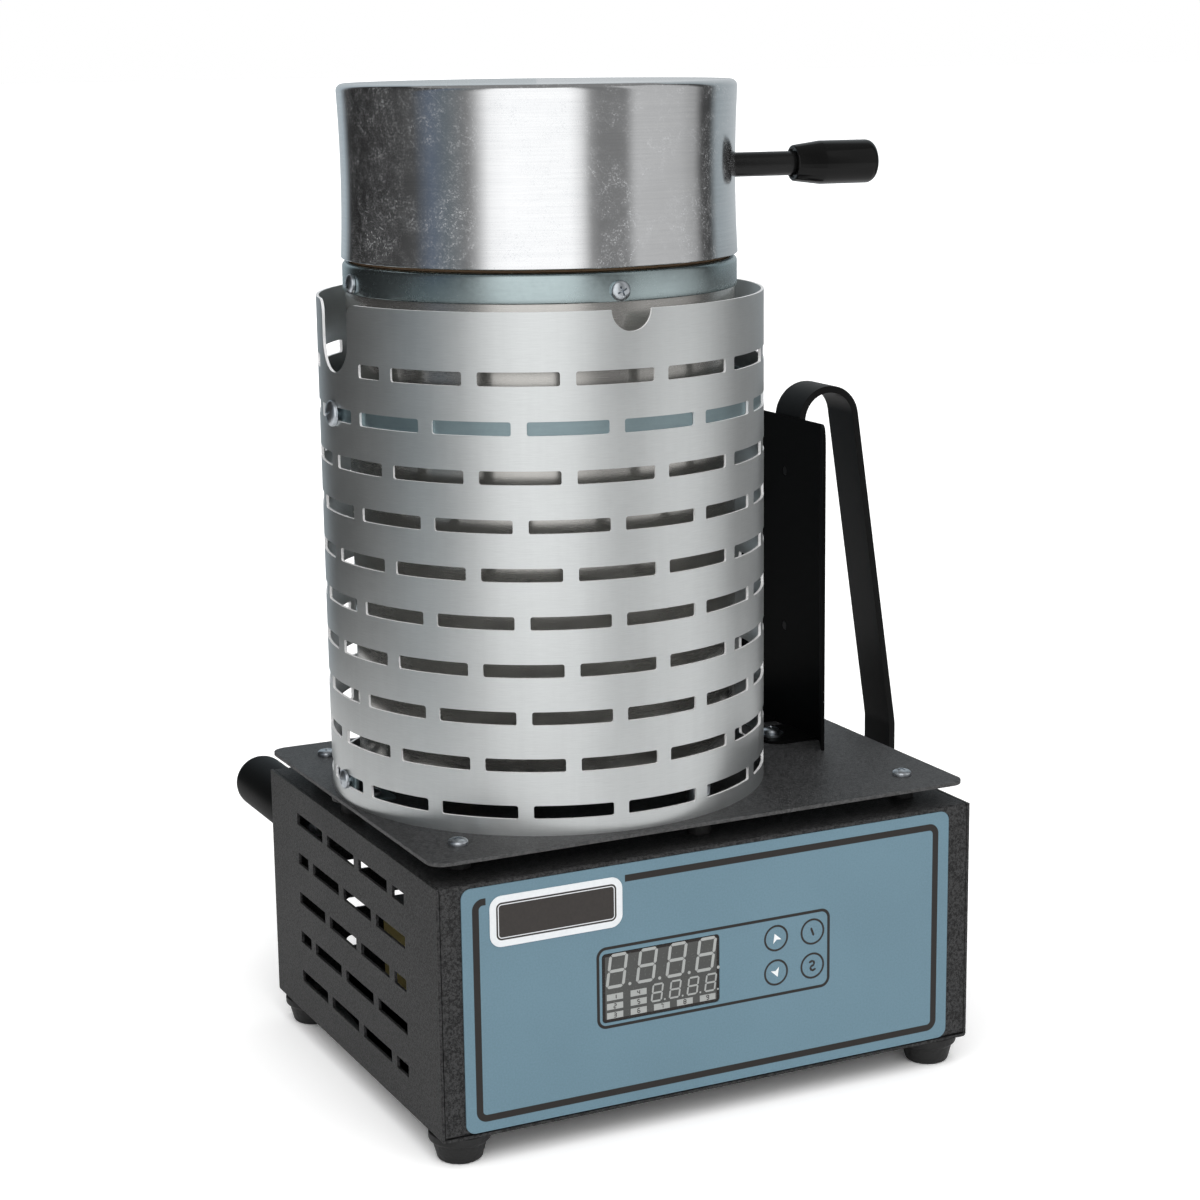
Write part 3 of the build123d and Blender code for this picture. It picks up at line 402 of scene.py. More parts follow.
class Surface(Nodes):
    """A Principled material, and the nodes that vary it over Object coordinates."""

    def __init__(self, name, colour, roughness, metallic=0, gloss=0.5):
        self.material = new_material(name)
        super().__init__(self.material.node_tree)
        self.shader = self.node(
            "ShaderNodeBsdfPrincipled", {},
            Base_Color=colour, Roughness=roughness, Metallic=metallic, Specular_IOR_Level=gloss,
        )
        self.node("ShaderNodeOutputMaterial", {}, self.shader.outputs[0])
        self.material.diffuse_color = (*colour, 1)
        self.where = self.node("ShaderNodeTexCoord").outputs["Object"]
        split = self.node("ShaderNodeSeparateXYZ", {}, self.where)
        self.x, self.y, self.z = (Signal(self, socket) for socket in split.outputs)

    def finish(self, **sockets):
        """The material, once the shader's sockets have what varies over the surface."""
        for name, value in sockets.items():
            self.feed(self.shader.inputs[name.replace("_", " ")], value)
        return self.material

    def noise(self, scale, detail=2, roughness=0.5, where=None):
        """Noise from 0 to 1, with features to the metre as one number or one for each axis."""
        where = self.where if where is None else where
        if isinstance(scale, tuple):
            where = self.node("ShaderNodeMapping", {}, where, Scale=scale).outputs[0]
            scale = 1
        made = self.node(
            "ShaderNodeTexNoise", {}, Vector=where, Scale=scale, Detail=detail, Roughness=roughness
        )
        return Signal(self, made.outputs["Fac"])

    def cells(self, scale, feature, where):
        """Distance from the points of scattered cells (F1) or from their edges, as a share of a cell."""
        made = self.node("ShaderNodeTexVoronoi", {"feature": feature}, Vector=where, Scale=scale)
        return Signal(self, made.outputs["Distance"])

    def bump(self, height, depth, strength):
        """Tilts the normal by a height, where 1 stands for a depth in mm."""
        made = self.node("ShaderNodeBump", {}, Strength=strength, Distance=depth * mm, Height=height)
        self.finish(Normal=made.outputs[0])

    def blended(self, share, first, second, roughness):
        """The material, with a colour between two and a varying roughness."""
        return self.finish(Base_Color=self.mix(share, first, second), Roughness=roughness)

    def from_axis(self):
        """How far a point is from the furnace's axis."""
        across = self.x - axis[0]
        along = self.y - axis[1]
        return (across * across + along * along) ** 0.5


def grey(value):
    return (value, value, value)


def shades(colour, dark, light, lift=0.0):
    """A colour made darker, and lighter, by two factors and a small lift."""
    return tuple(c * dark for c in colour), tuple(min(1.0, c * light + lift) for c in colour)


def srgb(red, green, blue):
    """A linear colour from 0-255 display values, by the display's power curve."""
    share = np.array((red, green, blue)) / 255
    linear = np.where(share <= 0.04045, share / 12.92, ((share + 0.055) / 1.055) ** 2.4)
    return tuple(float(c) for c in linear)


# ---------------------------------------------------------------- finishes
def powder_coat(name, tone, gloss, contrast, grain):
    """A black textured powder coat: small soft lumps, finer ones between them, and slow patches."""
    made = Surface(name, grey(tone), 0.5, gloss=gloss)
    lumps = made.noise(grain, 4, 0.85)
    fine = made.noise(grain * 2.3, 1)
    patches = made.noise(16, 4, 0.6)
    share = lumps.between(0.41, 0.59) * 0.85 + patches * 0.15
    pale = tone * (1.0 + contrast)
    made.bump(lumps * 0.7 + fine * 0.3, 0.26, 0.9)
    roughness = 0.44 + fine * 0.16 + (patches - 0.5) * 0.16
    return made.blended(share, grey(tone * (1.0 - contrast)), (pale, pale, pale * 1.02), roughness)


def smooth_black(name, tone, roughness, gloss):
    """Satin black paint with a faint orange peel and a trace of dust."""
    made = Surface(name, grey(tone), roughness, gloss=gloss)
    peel = made.noise(420)
    dust = made.noise(60, 5, 0.65)
    dusty = (tone * 1.35, tone * 1.4, tone * 1.5)
    made.bump(peel, 0.02, 0.4)
    varied = roughness + (dust - 0.5) * 0.1 + (peel - 0.5) * 0.05
    return made.blended(dust.between(0.4, 0.8), grey(tone), dusty, varied)


def satin_steel(name, colour, roughness, metallic, pierced=False):
    """Rolled stainless sheet: grain drawn out round the furnace, with faint clouds and runs. A
    pierced sheet's cut edges, between its two faces, carry a painted highlight: near-white and mostly not
    metallic."""
    made = Surface(name, colour, roughness, metallic)
    grain = made.noise((150, 150, 3800), 3, 0.7)
    cross = made.noise((420, 420, 30), 2, 0.6)
    cloud = made.noise(24, 4, 0.6)
    drips = made.noise((46, 46, 5), 3, 0.6)
    share = grain * 0.4 + cloud * 0.25 + drips * 0.25 + cross * 0.1
    tint = made.mix(share.between(0.3, 0.7), *shades(colour, 0.9, 1.05))
    if pierced:
        away = made.from_axis()
        # painted highlight: the cut faces, found by their distance from the axis, turn near-white and lose
        # most of their metal sheen, standing in for light caught along the slot edges
        painted_edge_glint = (away > shield_radius - shield_sheet + 0.06 * mm) * (away < shield_radius - 0.06 * mm)
        tint = made.mix(painted_edge_glint, tint, grey(0.95))
        made.finish(Metallic=metallic - painted_edge_glint * 0.8)
    made.bump(grain * 0.8 + cross * 0.2, 0.01, 0.5)
    return made.finish(
        Base_Color=tint, Roughness=roughness + (cloud - 0.5) * 0.12 + (grain - 0.5) * 0.12
    )


def zinc_plate(name, colour, roughness, spangle):
    """Bright zinc plate: a bluish skin of small spangles, scuffed in places."""
    made = Surface(name, colour, roughness, 1)
    grain = made.cells(spangle, "F1", made.where)
    scuff = made.noise((60, 60, 900), 5, 0.7)
    cloud = made.noise(70, 3)
    share = cloud * 0.55 + grain * 0.15 + scuff * 0.4
    made.bump(scuff * 0.8 + grain * 0.2, 0.003, 0.3)
    varied = roughness + (cloud - 0.5) * 0.16 + grain * 0.06
    return made.blended(share.between(0.32, 0.85), *shades(colour, 0.9, 1.07), varied)


def spun_aluminium():
    """Turned aluminium: fine level rings left by the tool, and handling marks gathered in clouds: a
    haze, pale specks in clusters, and broken lines along the edges of bent cells."""
    made = Surface("spun_aluminium", srgb(240, 241, 242), 0.1, 1)
    level = made.z + made.from_axis()
    tool_path = made.node("ShaderNodeCombineXYZ", {}, made.x, made.y, level).outputs[0]
    rings = made.noise((24, 24, 1700), 4, 0.75, tool_path)
    broad = made.noise((7, 7, 330), 3, 0.6, tool_path)
    speck = made.noise(1500, 3, 0.7)
    cloud = made.noise(52, 5, 0.6)
    slow = made.noise(17)
    bow = made.node("ShaderNodeTexNoise", {}, Vector=made.where, Scale=38, Detail=1)
    bent = made.node("ShaderNodeMix", {"data_type": "VECTOR"}, 0.03)
    made.feed(bent.inputs[4], made.where)
    made.feed(bent.inputs[5], bow.outputs["Color"])
    lines = 1.0 - made.cells(170, "DISTANCE_TO_EDGE", bent.outputs[1]).between(0.0, 0.02)
    cluster = made.noise(230, 4, 0.75).between(0.42, 0.58)
    patch = cloud.between(0.34, 0.62) * (0.6 + slow.between(0.35, 0.65) * 0.4)
    specks = (1.0 - made.cells(900, "F1", made.where).between(0.16, 0.46)) * cluster * patch
    haze = patch * (0.2 + cluster * 0.3)
    scratches = lines * cloud.between(0.42, 0.56) * speck.between(0.46, 0.58)
    dull = haze * 0.2 + specks * 0.5 + rings.between(0.3, 0.7) * 0.3
    made.bump(rings * 0.7 + broad * 0.3, 0.008, 0.5)
    return made.finish(
        Base_Color=made.mix(dull, srgb(244, 245, 246), srgb(214, 216, 219)),
        Metallic=1.0 - (haze * 0.1 + specks * 0.3 + scratches * 0.2).low(0.45),
        Roughness=0.06 + rings * 0.06 + haze * 0.05 + broad * 0.04 + scratches * 0.1,
    )


def moulded(name, colour, roughness, grain=900, depth=0.03, gloss=0.5):
    """Moulded plastic or rubber with a fine skin texture and slow changes of gloss."""
    made = Surface(name, colour, roughness, gloss=gloss)
    skin = made.noise(grain)
    slow = made.noise(45, 4, 0.6)
    made.bump(skin, depth, 0.6)
    varied = roughness + (slow - 0.5) * 0.14 + (skin - 0.5) * 0.06
    return made.blended(slow * 0.6 + skin * 0.4, *shades(colour, 0.8, 1.25, 0.002), varied)


def fibre_board(name, colour, roughness=0.95, depth=0.35):
    """Pressed ceramic fibre: a felted face with pits and warm scorched patches."""
    made = Surface(name, colour, roughness)
    felt = made.noise(520, 5, 0.75)
    pits = made.noise(160, 3)
    warm = made.noise(22, 4)
    scorched = (colour[0] * 0.8, colour[1] * 0.68, colour[2] * 0.52)
    pale = tuple(min(1.0, c * 1.06) for c in colour)
    made.bump(felt * 0.6 + pits * 0.4, depth, 0.8)
    return made.finish(Base_Color=made.mix(warm.between(0.42, 0.75) * 0.6 + felt * 0.25, pale, scorched))


def rounded_gap(x, z, x0, x1, z0, z1, corner):
    """Distance outside a round-cornered rectangle in x and z, negative inside: the length of the part
    of |p - centre| - half + corner above zero, plus the lesser part below it, less the corner."""
    across = abs(x - (x0 + x1) / 2) - ((x1 - x0) / 2 - corner)
    upright = abs(z - (z0 + z1) / 2) - ((z1 - z0) / 2 - corner)
    outside_x = across.high(0.0)
    outside_z = upright.high(0.0)
    outside = (outside_x * outside_x + outside_z * outside_z) ** 0.5
    return outside + across.high(upright).low(0.0) - corner


def printed_line(gap, width, edge):
    """1 on a line of a width just inside an outline, 0 off it, with a soft edge."""
    off = abs(gap + width / 2) - width / 2
    return 1.0 - off.between(-edge, edge)


def face(node):
    """A CAD node's limits in x and in z."""
    low, high = box(node)
    return low[0], high[0], low[2], high[2]


def panel_film(name, printed):
    """Blue-grey film. A printed one has a border stripe and a thin frame round the display and keys."""
    made = Surface(name, film_blue, 0.42, gloss=0.4)
    grain = made.noise(1300)
    made.bump(grain, 0.012, 0.5)
    blues = shades(film_blue, 0.93, 1.06)
    if not printed:
        return made.finish(Base_Color=made.mix(grain.between(0.3, 0.7), *blues))
    across, up = made.x - case[0], made.z - case_floor
    edge = 0.07 * mm
    border = rounded_gap(across, up, -105.6 * mm, 104.4 * mm, 6.0 * mm, 96.5 * mm, 4.5 * mm)
    frame_gap = rounded_gap(across, up, -53.5 * mm, 52.4 * mm, 34.5 * mm, 68.3 * mm, 4.2 * mm)
    behind_badge = (across > -99.9 * mm) * (across < -40.7 * mm) * (up > 80 * mm)
    stripe = printed_line(border, 2.8 * mm, edge) * (1.0 - behind_badge)
    ink = stripe.high(printed_line(frame_gap, 1.25 * mm, edge))
    slow = made.noise(18, 3)
    ground = made.mix((grain * 0.6 + slow * 0.4).between(0.3, 0.7), *blues)
    return made.blended(ink, ground, print_dark, 0.4 + (slow - 0.5) * 0.08 + (grain - 0.5) * 0.08)


def blank_badge():
    """A plain plate: a white rim round a dark field with nothing on it."""
    made = Surface("blank_badge", srgb(225, 228, 230), 0.32)
    gap = rounded_gap(made.x, made.z, *face("badge_plate"), 5.0 * mm)
    field = 1.0 - gap.between(-2.75 * mm, -2.6 * mm)
    hairline = printed_line(gap + 3.4 * mm, 0.35 * mm, 0.06 * mm)
    grain = made.noise(900)
    white = made.mix(grain, srgb(218, 222, 225), srgb(232, 234, 236))
    dark = made.mix(grain, srgb(40, 36, 34), srgb(52, 47, 44))
    return made.blended(field * (1.0 - hairline), white, dark, 0.28 + grain * 0.1)


def smoked_window():
    """Smoked acrylic over the display: a printed dark rim, a faint haze and a little dust."""
    made = Surface("smoked_window", srgb(74, 75, 74), 0.2, gloss=0.35)
    rim = rounded_gap(made.x, made.z, *face("display_window"), 1.5 * mm).between(-1.3 * mm, -1.15 * mm)
    haze = made.noise(60, 4)
    dust = made.noise(1100, 1)
    glass = made.mix(haze, srgb(66, 67, 66), srgb(82, 83, 81))
    return made.blended(rim, glass, print_dark, 0.18 + haze * 0.1 + dust.between(0.62, 0.7) * 0.3)


def wound_core():
    """Varnished laminations, with the winding's olive tape wherever it stands out beside them."""
    made = Surface("wound_core", srgb(70, 70, 72), 0.5)
    left, right, _, _ = face("control_transformer")
    tape = (made.x < left + 5.5 * mm).high(made.x > right - 5.5 * mm)
    laminae = made.noise((60, 1900, 60), 2, 0.6)
    turns = made.noise((300, 60, 900), 3, 0.6)
    iron = made.mix(laminae, srgb(52, 52, 54), srgb(88, 88, 90))
    olive = made.mix(turns, srgb(150, 136, 84), srgb(176, 162, 104))
    return made.blended(tape, iron, olive, 0.4 + laminae * 0.2)


def oiled_metal(name, colour, roughness):
    """Machined metal with fine marks, for pieces inside the case and on the screws."""
    made = Surface(name, colour, roughness, 1)
    lathe = made.noise((900, 900, 220), 3, 0.6)
    cloud = made.noise(160, 4, 0.6)
    made.bump(lathe, 0.015, 0.5)
    share = (cloud * 0.7 + lathe * 0.3).between(0.3, 0.7)
    return made.blended(share, *shades(colour, 0.7, 1.0), roughness + (cloud - 0.5) * 0.16)


film_blue = srgb(101, 130, 144)
print_dark = srgb(33, 29, 27)
case_coat = powder_coat("case_coat", 0.0235, 0.3, 0.95, 950.0)
deck_coat = powder_coat("deck_coat", 0.029, 0.95, 0.8, 800.0)
guard_black = smooth_black("guard_black", 0.003, 0.48, 0.03)
strap_black = smooth_black("strap_black", 0.0045, 0.4, 0.1)
rod_black = smooth_black("rod_black", 0.006, 0.25, 0.35)
shield_satin = satin_steel("shield_satin", srgb(219, 222, 222), 0.35, 0.95, True)
can_satin = satin_steel("can_satin", srgb(202, 200, 196), 0.26, 0.92)
ring_zinc = zinc_plate("ring_zinc", srgb(182, 197, 199), 0.22, 520.0)
hoop_zinc = zinc_plate("hoop_zinc", srgb(146, 164, 169), 0.42, 620.0)
screw_zinc = oiled_metal("screw_zinc", srgb(222, 228, 234), 0.32)
lid_skin = spun_aluminium()
film = panel_film("printed_film", True)
key_skin = panel_film("key_film", False)
badge = blank_badge()
window_smoke = smoked_window()
segment_grey = moulded("segment_grey", srgb(160, 162, 160), 0.5, 1500.0, 0.01)
symbol_white = moulded("symbol_white", srgb(236, 240, 242), 0.45, 1500.0, 0.01)
symbol_dark = moulded("symbol_dark", print_dark, 0.45, 1500.0, 0.01)
knob_gloss = moulded("knob_gloss", grey(0.003), 0.1, 60.0, 0.0, gloss=0.25)
grip_black = moulded("grip_black", grey(0.0025), 0.45, 700.0, 0.05, gloss=0.05)
foot_rubber = moulded("foot_rubber", grey(0.013), 0.5, 420.0, 0.6, gloss=0.35)
black_plastic = moulded("black_plastic", grey(0.014), 0.36, 700.0, 0.05)
rocker_plastic = moulded("rocker_plastic", grey(0.010), 0.2, 500.0, 0.02)
fibre = fibre_board("fibre", srgb(226, 220, 208))
gasket_brown = fibre_board("gasket_brown", srgb(92, 72, 50), 0.95, 0.1)
refractory = fibre_board("refractory", srgb(214, 196, 170), 0.85)
graphite = moulded("graphite", srgb(62, 62, 66), 0.45, 500.0, 0.06)
resistance_wire = oiled_metal("resistance_wire", srgb(110, 98, 90), 0.5)
brass = oiled_metal("brass", srgb(214, 178, 110), 0.28)
bare_aluminium = oiled_metal("bare_aluminium", srgb(190, 194, 198), 0.38)
tape_and_core = wound_core()
board_green = moulded("board_green", srgb(28, 78, 50), 0.35, 600.0, 0.02)
relay_plastic = moulded("relay_plastic", srgb(40, 42, 46), 0.4)
terminal_cream = moulded("terminal_cream", srgb(206, 200, 180), 0.5)
wire_red = moulded("wire_red", srgb(150, 34, 28), 0.45)


# ---------------------------------------------------------------- sheet metal from the frame
def refined(node, material, bevel, body="furnace"):
    """A merged copy of a CAD node with flat faces whole, edges broken by a bevel in mm and curves smooth."""
    shape = bmesh.new()
    shape.from_mesh(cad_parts[node].data)
    bmesh.ops.remove_doubles(shape, verts=shape.verts, dist=1e-6)
    bmesh.ops.dissolve_limit(
        shape, angle_limit=radians(0.3), verts=shape.verts, edges=shape.edges, delimit={"NORMAL"}
    )
    name = node + "_finished"
    mesh = bpy.data.meshes.new(name)
    shape.to_mesh(mesh)
    shape.free()
    if bevel:
        shade(mesh)
        mesh = modified(
            mesh, "BEVEL", width=bevel * mm, segments=2, limit_method="ANGLE", angle_limit=radians(40),
            harden_normals=False, use_clamp_overlap=True, miter_outer="MITER_ARC",
        )
    shade(mesh)
    mesh = modified(mesh, "WEIGHTED_NORMAL", weight=100, keep_sharp=True)
    mesh.name = name
    piece(name, mesh, material, body, [node], shaded=True)


for node, material, bevel, slot in (
    ("chassis_tray", case_coat, 0.3, "case_paint"),
    ("top_cover", case_coat, 0.3, "case_paint"),
    ("deck_plate", deck_coat, 0.35, "case_paint"),
    ("heat_guard", guard_black, 0.3, "black_paint"),
    ("strap_handle", strap_black, 0.55, "black_paint"),
    ("strap_rivets", strap_black, 0.3, "black_paint"),
    ("panel_overlay", film, 0.0, "overlay_film"),
    ("badge_plate", badge, 0.12, "badge_plate"),
    ("display_window", window_smoke, 0.1, "window_smoke"),
    ("power_inlet", black_plastic, 0.3, "black_plastic"),
    ("switch_body", black_plastic, 0.3, "black_plastic"),
    ("inlet_pins", brass, 0.25, "pin_brass"),
    ("shield_brackets", hoop_zinc, 0.15, "zinc"),
    ("guard_washers", screw_zinc, 0.0, "zinc"),
    ("body_pillars", screw_zinc, 0.0, "zinc"),
    ("furnace_base", can_satin, 0.15, "can_steel"),
    ("support_ring", hoop_zinc, 0.0, "zinc"),
    ("solid_state_relay", relay_plastic, 0.3, None),
    ("terminal_block", terminal_cream, 0.3, None),
):
    refined(node, material, bevel)
refined("power_rocker", rocker_plastic, 0.35, "rocker")


# ---------------------------------------------------------------- heat shield
def slots_of_row(row):
    """Angles of a row's slots: odd rows stand half a pitch aside and leave the seam blank."""
    if row % 2:
        return 180.0 + np.arange(-7, 8) * slot_pitch
    return 180.0 + (np.arange(-7, 7) + 0.5) * slot_pitch


def slot_beside_notch(angle):
    """Centre and span of a top-row slot, which stops short of a deep notch."""
    low, high = angle - slot_span / 2, angle + slot_span / 2
    for notch in notch_angles:
        offset = (angle - notch + 180) % 360 - 180
        if 0 < offset < notch_clear + slot_span / 2:
            low = max(low, angle - offset + notch_clear)
        elif -notch_clear - slot_span / 2 < offset <= 0:
            high = min(high, angle - offset - notch_clear)
    return (low + high) / 2, max(high - low, 0.0)


def pierced(outline, angle, level):
    """A prism along the wall's outward direction: outline x runs round the furnace, y runs up."""
    points, faces = prism_points(outline, shield_radius - 9 * mm, shield_radius + 9 * mm)
    along, up, out = points.T
    start = np.array((axis[0], axis[1], level))
    placed = start + out[:, None] * heading(angle) + along[:, None] * beside(angle) + up[:, None] * UP
    return placed, faces


def slot_outline(span):
    """A rectangle with small round corners, as long as the span's chord."""
    half = shield_radius * sin(radians(span / 2))
    tall = slot_height / 2
    corners = [(-half, -tall), (half, -tall), (half, tall), (-half, tall)]
    return rounded([(x, y, slot_corner) for x, y in corners], 3)


def notch_outline():
    """A U whose mouth flares: two quarter arcs, straight sides and a half-round floor."""
    half = notch_width / 2
    right = arc((half + notch_flare, -notch_flare), notch_flare, 90, 180, 8)
    floor = arc((0, half - notch_depth), half, 0, -180, 28)
    left = arc((-half - notch_flare, -notch_flare), notch_flare, 0, 90, 8)
    top = np.array([(-half - notch_flare, above_edge), (half + notch_flare, above_edge)])
    return np.concatenate([right, floor, left, top])


def half_round_outline():
    """A half circle below the edge, closed above it."""
    floor = arc((0, 0), front_notch_radius, 0, -180, 28)
    return np.concatenate([floor, [(-front_notch_radius, above_edge), (front_notch_radius, above_edge)]])


def heat_shield():
    """A tube of 360 columns, less a prism for each slot and notch."""
    rows = np.linspace(deck_top, shield_top, 2 * slot_rows + 1)
    outer = np.stack([np.full_like(rows, shield_radius), rows], axis=1)
    inner = np.stack([np.full_like(rows, shield_radius - shield_sheet), rows[::-1]], axis=1)
    wall = turned("shield_wall", np.concatenate([outer, inner]), upright, 360)
    prisms = []
    for row in range(slot_rows):
        level = shield_top - slot_first_drop - row * slot_row_pitch
        for angle in slots_of_row(row):
            centre, span = slot_beside_notch(angle) if row == 0 else (angle, slot_span)
            if span > 4:
                prisms.append(pierced(slot_outline(span), centre, level))
    prisms += [pierced(notch_outline(), angle, shield_top) for angle in notch_angles]
    prisms.append(pierced(half_round_outline(), front_notch_angle, shield_top))
    mesh = cut(wall, new_mesh("shield_cutters", *merged(prisms)))
    piece("heat_shield_sheet", mesh, shield_satin, "furnace", ["heat_shield"])


upright = basis((axis[0], axis[1], 0), UP)
heat_shield()


# ---------------------------------------------------------------- turned pieces
def plain_outline(outer, inner, low, high, edge):
    """A tube wall's section with broken edges."""
    return rounded([(outer, low, edge), (outer, high, edge), (inner, high, edge), (inner, low, edge)], 2)


def turned_piece(node, kind, section, material, body="lid", place=upright, steps=round_steps):
    """A section turned about a place's +Z, for a CAD node. Its name ends in the kind."""
    mesh = turned(node + kind, section, place, steps)
    piece(node + kind, mesh, material, body, [node])


def furnace_can():
    low, high = box("furnace_can")
    section = plain_outline(can_radius, can_radius - can_sheet, low[2], high[2], 0.2 * mm)
    turned_piece("furnace_can", "_sheet", section, can_satin, "furnace")


def top_ring():
    """The ring over the can: a rolled outer edge and a flat lip that runs in to the mouth."""
    under = ring_top - ring_height
    sheet = 1.0 * mm
    section = rounded([
        (ring_radius - sheet, under, 0.2 * mm), (ring_radius, under, 0.3 * mm),
        (ring_radius, ring_top, ring_roll), (ring_lip, ring_top, 0.3 * mm),
        (ring_lip, ring_top - sheet, 0.2 * mm), (ring_radius - sheet, ring_top - sheet, 0.5 * mm),
    ], 6)
    turned_piece("top_ring", "_rolled", section, ring_zinc, "furnace")


def lid_side(levels, inset):
    """The lid's wall: waist + (rim - waist) * t * t, with t from -1 at the foot to 1 at the shoulder."""
    low, high = lid_low[2], lid_high[2] - lid_shoulder
    waist = low + 0.5 * (high - low)
    t = (levels - waist) / (high - waist)
    return lid_waist_radius + (lid_radius - lid_waist_radius) * t * t - inset


def lid_shell():
    """A spun cup: a waisted wall, a round shoulder and a flat top, all of one sheet."""
    low, high = lid_low[2], lid_high[2]
    edge = 0.25 * mm
    bend_centre = (lid_radius - lid_shoulder, high - lid_shoulder)
    levels = np.linspace(low + edge, high - lid_shoulder, 25)
    side = np.stack([lid_side(levels, 0.0), levels], axis=1)
    bend = arc(bend_centre, lid_shoulder, 0, 90, 14)[1:]
    top = np.array([(lid_flat, high), (0.0, high), (0.0, high - lid_sheet)])
    under = arc(bend_centre, lid_shoulder - lid_sheet, 90, 0, 8)
    inside = np.stack([lid_side(levels[::-1], lid_sheet), levels[::-1]], axis=1)[1:]
    foot = np.array([(lid_radius - lid_sheet + edge, low), (lid_radius - edge, low)])
    section = np.concatenate([side, bend, top, under, inside, foot])
    turned_piece("lid_shell", "_spun", section, lid_skin)


def lid_gasket():
    low, high = box("lid_gasket")
    section = plain_outline((high[0] - low[0]) / 2, gasket_bore, low[2], high[2], 0.4 * mm)
    turned_piece("lid_gasket", "_ring", section, gasket_brown)


def lid_rod():
    """A round bar out of the lid's side, with a broken end inside the knob."""
    reach = knob_start + knob_bore_depth - rod_start
    edge = 0.4 * mm
    section = rounded([(0, 0, 0), (rod_radius, 0, edge), (rod_radius, reach, edge), (0, reach, 0)], 3)
    place = radial(rod_start, rod_angle, rod_level)
    turned_piece("lid_rod", "_bar", section, rod_black, "lid", place, small_steps)


def lid_knob():
    """A turned knob: a recessed face, a long taper, a straight barrel and a round end."""
    bore, radius, length, depth = (
        size / mm for size in (rod_radius + 0.05 * mm, knob_radius, knob_length, knob_bore_depth)
    )
    section = rounded(np.array([
        (bore, 0.8, 0), (6.1, 0.8, 0.15), (6.1, 0, 0.2), (7.4, 0, 0.6), (radius, 12, 6),
        (radius, length, 4), (0, length, 0), (0, depth, 0), (bore, depth, 0),
    ]) * mm, 8)
    place = radial(knob_start, rod_angle, rod_level)
    turned_piece("lid_knob", "_turned", section, knob_gloss, "lid", place, 96)


def rear_grip():
    """A round grip with a soft far end and a broken near edge."""
    low, high = box("rear_grip")
    radius, length = (high[0] - low[0]) / 2, high[1] - low[1]
    section = rounded([(0, 0, 0), (radius, 0, 0.8 * mm), (radius, length, 7.0 * mm), (0, length, 0)], 10)
    place = basis(((low[0] + high[0]) / 2, low[1], (low[2] + high[2]) / 2), (0, 1, 0))
    turned_piece("rear_grip", "_moulded", section, grip_black, "furnace", place, 96)


def at_corners(reach, level, shift=0.0):
    """Four places about the case's centre."""
    return [
        (case[0] + x * reach[0], case[1] + shift + y * reach[1], level) for x in (-1, 1) for y in (-1, 1)
    ]


def turned_copies(node, kind, part, places):
    """A black turned shape at several places, for a CAD node."""
    mesh = new_mesh(node + kind, *copies(part, [basis(place, UP) for place in places]))
    piece(node + kind, mesh, foot_rubber, "furnace", [node])


def rubber_feet():
    """Moulded bumpers: a collar over a cup that tapers to the bench, with a screw well."""
    tall, well = case_floor / mm, foot_well / mm
    section = rounded(np.array([
        (m4_hole_radius, well, 0), (m4_hole_radius, tall, 0), (12.3, tall, 0.3),
        (12.3, tall - 2.9, 1.2), (10.7, tall - 4.3, 0.8), (8.8, 0, 1.6), (5.0, 0, 0.5), (5.0, well, 0.3),
    ]) * mm, 4)
    places = at_corners(foot_reach, 0.0)
    turned_copies("rubber_feet", "_moulded", turned_points(section, small_steps), places)


def deck_spacers():
    """Flanged spacers between the case and the deck."""
    low, high = (corner[2] / mm for corner in box("deck_spacers"))
    section = rounded(np.array([
        (m4_hole_radius, low, 0), (4.8, low, 0.2), (4.8, high - 2, 0.3), (8.5, high - 2, 0.3),
        (8.5, high, 0.2), (m4_hole_radius, high, 0),
    ]) * mm, 3)
    places = at_corners(deck_reach, 0.0, deck_shift)
    places += [around(pillar_radius, angle, 0.0) for angle in pillar_angles]
    turned_copies("deck_spacers", "_turned", turned_points(section, 48), places)


for maker in (
    furnace_can, top_ring, lid_shell, lid_gasket, lid_rod, lid_knob, rear_grip, rubber_feet, deck_spacers,
):
    maker()


# ---------------------------------------------------------------- screws
def cross_screw(head, tall, shank, length):
    """A pan head with a low dome, a cross recess whose wings taper inwards, and a plain shank. The
    head's radius, its height, the shank's radius and its length are in mm."""
    lift = tall * 0.32
    crown = arc((0, 0), 1.0, 0, 90, 10)
    dome = np.stack([head * crown[:, 0], lift + (tall - lift) * crown[:, 1] ** 0.9], axis=1)
    dome[-1, 0] = 0.0
    low = [(0.0, -length), (shank, -length), (shank, 0.0), (head * 0.95, 0.0), (head, 0.12)]
    mesh = new_mesh("screw_head", *turned_points(np.concatenate([low, dome]) * mm, 40))
    wing = head * 0.56
    narrow = head * 0.085
    depth = tall * 0.62
    slope, floor = tall - depth * 0.45, tall - depth
    profile = np.array([
        (-wing, tall + 0.3), (wing, tall + 0.3), (wing * 0.8, slope),
        (wing * 0.3, floor), (-wing * 0.3, floor), (-wing * 0.8, slope),
    ])
    points, faces = prism_points(profile * mm, -narrow * mm, narrow * mm)
    for bar_points in (points[:, [0, 2, 1]], points[:, [2, 0, 1]] * np.array((1, -1, 1))):
        mesh = cut(mesh, new_mesh("screw_cross", bar_points, faces))
    vertices = np.zeros(len(mesh.vertices) * 3)
    mesh.vertices.foreach_get("co", vertices)
    return vertices.reshape(-1, 3), [tuple(face.vertices) for face in mesh.polygons]


def spun(matrix, angle):
    """The matrix turned about its own +Z."""
    return matrix @ np.array(Matrix.Rotation(radians(angle), 4, "Z"))


